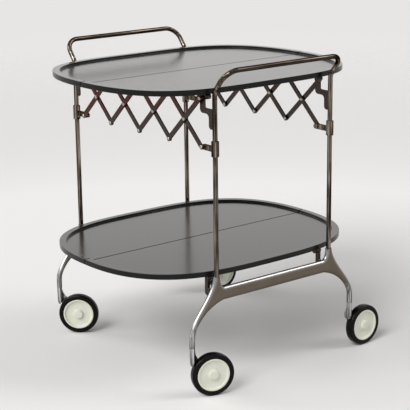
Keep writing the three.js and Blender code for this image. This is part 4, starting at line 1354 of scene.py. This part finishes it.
class TROLLEY_OT_casters(bpy.types.Operator):
    """Make the caster arms, axles, discs and tyres"""
    bl_idname = "trolley.casters"
    bl_label = "Casters"
    bl_options = {"REGISTER", "UNDO"}

    def execute(self, context):
        trolley = context.scene.trolley
        sizes = trolley.casters
        swivel, spin = joint_places["front_left_swivel"], joint_places["front_left_wheel_spin"]
        trail = (spin.xy - swivel.xy).length
        arm, axle = self.arm(sizes, trail), self.axle(sizes)
        disc, tyre = self.disc(sizes), self.tyre(sizes)
        for corner in ("front_left", "front_right", "rear_left", "rear_right"):
            swivel, spin = joint_places[f"{corner}_swivel"], joint_places[f"{corner}_wheel_spin"]
            ahead = spin - swivel
            yaw = Matrix.Rotation(math.atan2(ahead.y, ahead.x), 4, "Z")
            at_pin = Matrix.Translation((swivel.x, swivel.y, 0)) @ yaw
            at_wheel = Matrix.Translation(spin) @ yaw
            show("cast", f"{corner}_caster_arm", arm, "cast_aluminium", at_pin)
            show("chromed", f"{corner}_wheel_axle", axle, "chrome_steel", at_wheel, sizes.axle_edge)
            show("moulded", f"{corner}_wheel_disc", disc, "pale_nylon", at_wheel)
            show("moulded", f"{corner}_tyre", tyre, "tyre_rubber", at_wheel)
        return {"FINISHED"}

    @staticmethod
    def arm(sizes, trail):
        """A round neck that flows into a flat arm behind the wheel, about the kingpin's axis."""
        heel, toe = stem_foot - sizes.heel_drop, stem_foot - sizes.toe_drop
        shoulder, skirt = stem_foot - sizes.shoulder_drop, stem_foot - sizes.skirt_drop
        axle = (trail, sizes.wheel_radius)
        inner_y = sizes.half_width + sizes.arm_gap
        outer_y = inner_y + sizes.arm_thickness
        top, kingpin_end = stem_foot - SWIVEL_CLEARANCE, stem_foot + sizes.kingpin_length
        outline = [
            (-sizes.back, shoulder), (-sizes.back, heel), (0.0, toe),
            *bezier((0.0, toe), (trail / 2, axle[1]), (trail - sizes.hub_radius, axle[1])),
            *arc(axle, sizes.hub_radius, math.pi, 5 * math.pi / 2),
            *bezier((trail, axle[1] + sizes.hub_radius), (sizes.hub_radius, heel),
                    (sizes.neck_radius, shoulder)),
        ]

        def distance(x, y, z):
            radial = np.hypot(x, y)
            taper = np.interp(z, (toe, heel, top), (sizes.toe_radius, sizes.heel_radius, sizes.neck_radius))
            neck = bar(radial, taper, z, toe, top, sizes.neck_lip)
            reach = np.interp(z, (skirt, shoulder), (outer_y, sizes.neck_radius))
            flat = outline_distance(x, z, outline)
            plate = rounded_meeting(flat, np.abs(y - reach / 2) - reach / 2, sizes.arm_edge)
            body = fused(neck, plate, sizes.arm_fillet)
            from_axle = np.hypot(x - axle[0], z - axle[1])
            from_tread = from_axle - sizes.wheel_radius - sizes.tread_gap
            body = np.maximum(body, -rounded_meeting(from_tread, y - inner_y, sizes.tread_edge))
            kingpin = bar(radial, sizes.kingpin_radius, z, heel, kingpin_end, sizes.kingpin_lip)
            body = np.minimum(body, kingpin)
            return np.maximum(body, sizes.axle_radius + CLEARANCE - from_axle)

        low = (-ARM_REACH, -ARM_REACH, sizes.wheel_radius - sizes.hub_radius - ARM_MARGIN)
        high = (trail + sizes.hub_radius + ARM_MARGIN, outer_y + ARM_MARGIN, kingpin_end + ARM_MARGIN)
        return cast("caster_arm", distance, low, high, sizes.cell)

    @staticmethod
    def axle(sizes):
        """The axle along Y about the wheel's centre, with a domed head behind the arm."""
        arm_y = sizes.half_width + sizes.arm_gap + sizes.arm_thickness + CLEARANCE
        end = [(sizes.axle_radius, CLEARANCE - sizes.axle_reach), (sizes.axle_radius, arm_y)]
        head = [(sizes.axle_head * r, arm_y + sizes.head_rise * h) for r, h in AXLE_HEAD_SHARES]
        return Shell().turned([*end, *head], "Y").mesh("wheel_axle")

    @staticmethod
    def disc(sizes):
        """A dished disc with a raised ring, a round centre boss and an open back with a hub."""
        face, fillet = sizes.half_width, sizes.dish_fillet
        outer = sizes.wheel_radius - sizes.tyre_depth
        ring, ring_edge, rim_edge = outer - sizes.ring_width, sizes.ring_edge, sizes.rim_edge
        dish = face - sizes.dish_depth
        hub, bore = sizes.hub_radius, sizes.axle_radius + CLEARANCE
        boss = [(sizes.boss_radius * r, -dish - sizes.boss_rise * h) for r, h in BOSS_SHARES]
        front_dish = [(ring - fillet, -dish), (ring - fillet * 0.6, -dish - fillet * 0.2),
                      (ring - fillet / 4, -dish - fillet * 0.7)]
        front_ring = [(ring, ring_edge / 2 - face), (ring + ring_edge / 2, ring_edge / 12 - face),
                      (ring + ring_edge, -face)]
        rim = [(outer - rim_edge, -face), (outer - rim_edge / 4, rim_edge / 4 - face),
               (outer, rim_edge - face), (outer, face - rim_edge), (outer - rim_edge, face)]
        back_ring = [(ring + ring_edge / 2, face), (ring, face - ring_edge / 2)]
        back_dish = [(ring - fillet / 4, dish + fillet / 2), (ring - fillet * 1.1, dish),
                     (hub + fillet * 0.75, dish), (hub + fillet * 0.15, dish + fillet / 2)]
        hub_end = [(hub, face - fillet / 4), (hub - fillet / 4, face)]
        blind_bore = [(bore, face), (bore, -sizes.axle_reach)]
        profile = [*boss, *front_dish, *front_ring, *rim, *back_ring, *back_dish, *hub_end, *blind_bore]
        return Shell().turned(profile, "Y", steps=WHEEL_STEPS).mesh("wheel_disc")

    @staticmethod
    def tyre(sizes):
        """A solid tyre with round shoulders, a slightly crowned tread and a bead beside the disc."""
        half, outer, shoulder = sizes.half_width, sizes.wheel_radius, sizes.shoulder
        inner = outer - sizes.tyre_depth + CLEARANCE
        centre = (outer - sizes.crown - shoulder, shoulder - half)
        wall = [(inner, sizes.bead_edge - half), (inner + sizes.bead_edge, -half),
                (inner + sizes.bead, -half), *arc(centre, shoulder, -math.pi / 2, 0, CORNER_STEPS + 1),
                (outer, -half / 4)]
        mirrored = [(radius, -place) for radius, place in reversed(wall)]
        return Shell().turned([*wall, *mirrored], "Y", closed=True, steps=WHEEL_STEPS).mesh("tyre")


class TROLLEY_OT_stage(bpy.types.Operator):
    """Make the floor, the world, the lamps and the camera"""
    bl_idname = "trolley.stage"
    bl_label = "Stage"
    bl_options = {"REGISTER", "UNDO"}

    def execute(self, context):
        trolley = context.scene.trolley
        settings, colours = trolley.stage, trolley.colours
        bpy.context.scene.view_settings.view_transform = "Standard"
        self.floor(settings, colours)
        self.world(settings, colours)
        self.camera(settings)
        # Name, azimuth, elevation and softness in degrees, and power
        lamps = (
            ("key", 290, 40, 30, 1.9),
            ("left_window", 248, 38, 30, 0.8),
            ("left_rim", 212, 28, 26, 0.7),
            ("right_rim", 52, 40, 24, 0.8),
        )
        for name, *angles, power in lamps:
            self.lamp(name, *map(math.radians, angles), power)
        return {"FINISHED"}

    @staticmethod
    def floor(settings, colours):
        """A pale disc that fades into the backdrop at its edge."""
        shell = Shell()
        shell.loft([[(x, y, z) for x, y in circle((0, 0), settings.floor_radius, WHEEL_STEPS)]
                    for z in (-settings.floor_depth, 0.0)])
        floor = new_object("floor", shell.mesh("floor"))
        finish = Finish("pale_floor", Base_Color=colours.floor, Roughness=0.7, Specular_IOR_Level=0.0)
        here = finish.node("ShaderNodeTexCoord", {}, {}, "Object")
        distance = finish.node("ShaderNodeVectorMath", {"operation": "LENGTH"}, {0: here}, "Value")
        fade = finish.ramp(distance * (1 / settings.floor_radius), (0.25, 0.0), (0.9, 1.0))
        clear = finish.node("ShaderNodeBsdfTransparent", {}, {})
        shown = Field(finish, finish.shader.outputs[0])
        mixed = finish.node("ShaderNodeMixShader", {}, {0: fade, 1: shown, 2: clear})
        finish.link(mixed, finish.tree.nodes["Material Output"].inputs["Surface"])
        floor.data.materials.append(finish.material)

    @staticmethod
    def world(settings, colours):
        """A pale backdrop for what the camera and the gloss see, and an even light for the rest."""
        world = bpy.context.scene.world or bpy.data.worlds.new("studio")
        bpy.context.scene.world = world
        world.use_nodes = True
        nodes = Nodes(world.node_tree)
        seen = nodes.node("ShaderNodeLightPath", {}, {}, "Is Camera Ray")
        for label in ("Is Glossy Ray", "Is Transmission Ray"):
            seen = seen.math("MAXIMUM", seen, nodes.node("ShaderNodeLightPath", {}, {}, label))
        background = nodes.tree.nodes["Background"]
        nodes.link(colours.floor, background.inputs["Color"])
        nodes.link(nodes.fade(seen, settings.world_light, 1.0), background.inputs["Strength"])

    @staticmethod
    def lamp(name, azimuth, elevation, softness, power):
        """A wide soft light, so far away that it lights the whole floor evenly."""
        light = bpy.data.lights.new(name, "SUN")
        light.energy = power
        light.angle = softness
        lamp = new_object(name, light)
        lamp.rotation_euler = (0, math.pi / 2 - elevation, azimuth)

    @staticmethod
    def camera(settings):
        """A camera at the photograph's viewing angle."""
        back = Vector((math.sin(settings.azimuth) * math.cos(settings.elevation),
                       -math.cos(settings.azimuth) * math.cos(settings.elevation),
                       math.sin(settings.elevation)))
        right = Vector((math.cos(settings.azimuth), math.sin(settings.azimuth), 0))
        above = back.cross(right)
        target = right * settings.target[0] + above * settings.target[1]
        target.z += settings.target_height
        camera = bpy.data.cameras.new("camera")
        camera.lens = settings.lens
        camera.sensor_width = 36.0
        holder = new_object("camera", camera)
        facing = Matrix((right, above, back)).transposed().to_4x4()
        holder.matrix_world = (Matrix.Translation(target + back * settings.distance) @ facing
                               @ Matrix.Rotation(settings.roll, 4, "Z"))
        bpy.context.scene.camera = holder


class TROLLEY_PT_sidebar(bpy.types.Panel):
    """Lists the trolley's operators in the 3D view's sidebar"""
    bl_idname = "TROLLEY_PT_sidebar"
    bl_label = "Trolley"
    bl_space_type = "VIEW_3D"
    bl_region_type = "UI"
    bl_category = "Trolley"

    def draw(self, context):
        for operator in operators:
            self.layout.operator(operator.bl_idname)
        for group in Trolley.__annotations__:
            box = self.layout.box()
            box.label(text=group.capitalize())
            settings = getattr(context.scene.trolley, group)
            for label in type(settings).__annotations__:
                box.prop(settings, label)


groups = (HandleSizes, BridgeSizes, BracketSizes, SliderSizes, TraySizes, HingeSizes, ScissorSizes,
          CasterSizes, FinishColours, StageSettings, Trolley)
operators = (TROLLEY_OT_stage, TROLLEY_OT_handles, TROLLEY_OT_bridges, TROLLEY_OT_brackets,
             TROLLEY_OT_sliders, TROLLEY_OT_trays, TROLLEY_OT_hinges, TROLLEY_OT_scissors,
             TROLLEY_OT_casters)


def register():
    for item in (*groups, *operators, TROLLEY_PT_sidebar):
        bpy.utils.register_class(item)
    bpy.types.Scene.trolley = bpy.props.PointerProperty(type=Trolley)


def unregister():
    del bpy.types.Scene.trolley
    for item in reversed((*groups, *operators, TROLLEY_PT_sidebar)):
        bpy.utils.unregister_class(item)


def main():
    register()
    for operator in operators:
        group, name = operator.bl_idname.split(".")
        getattr(getattr(bpy.ops, group), name)()


if __name__ == "__main__":
    main()
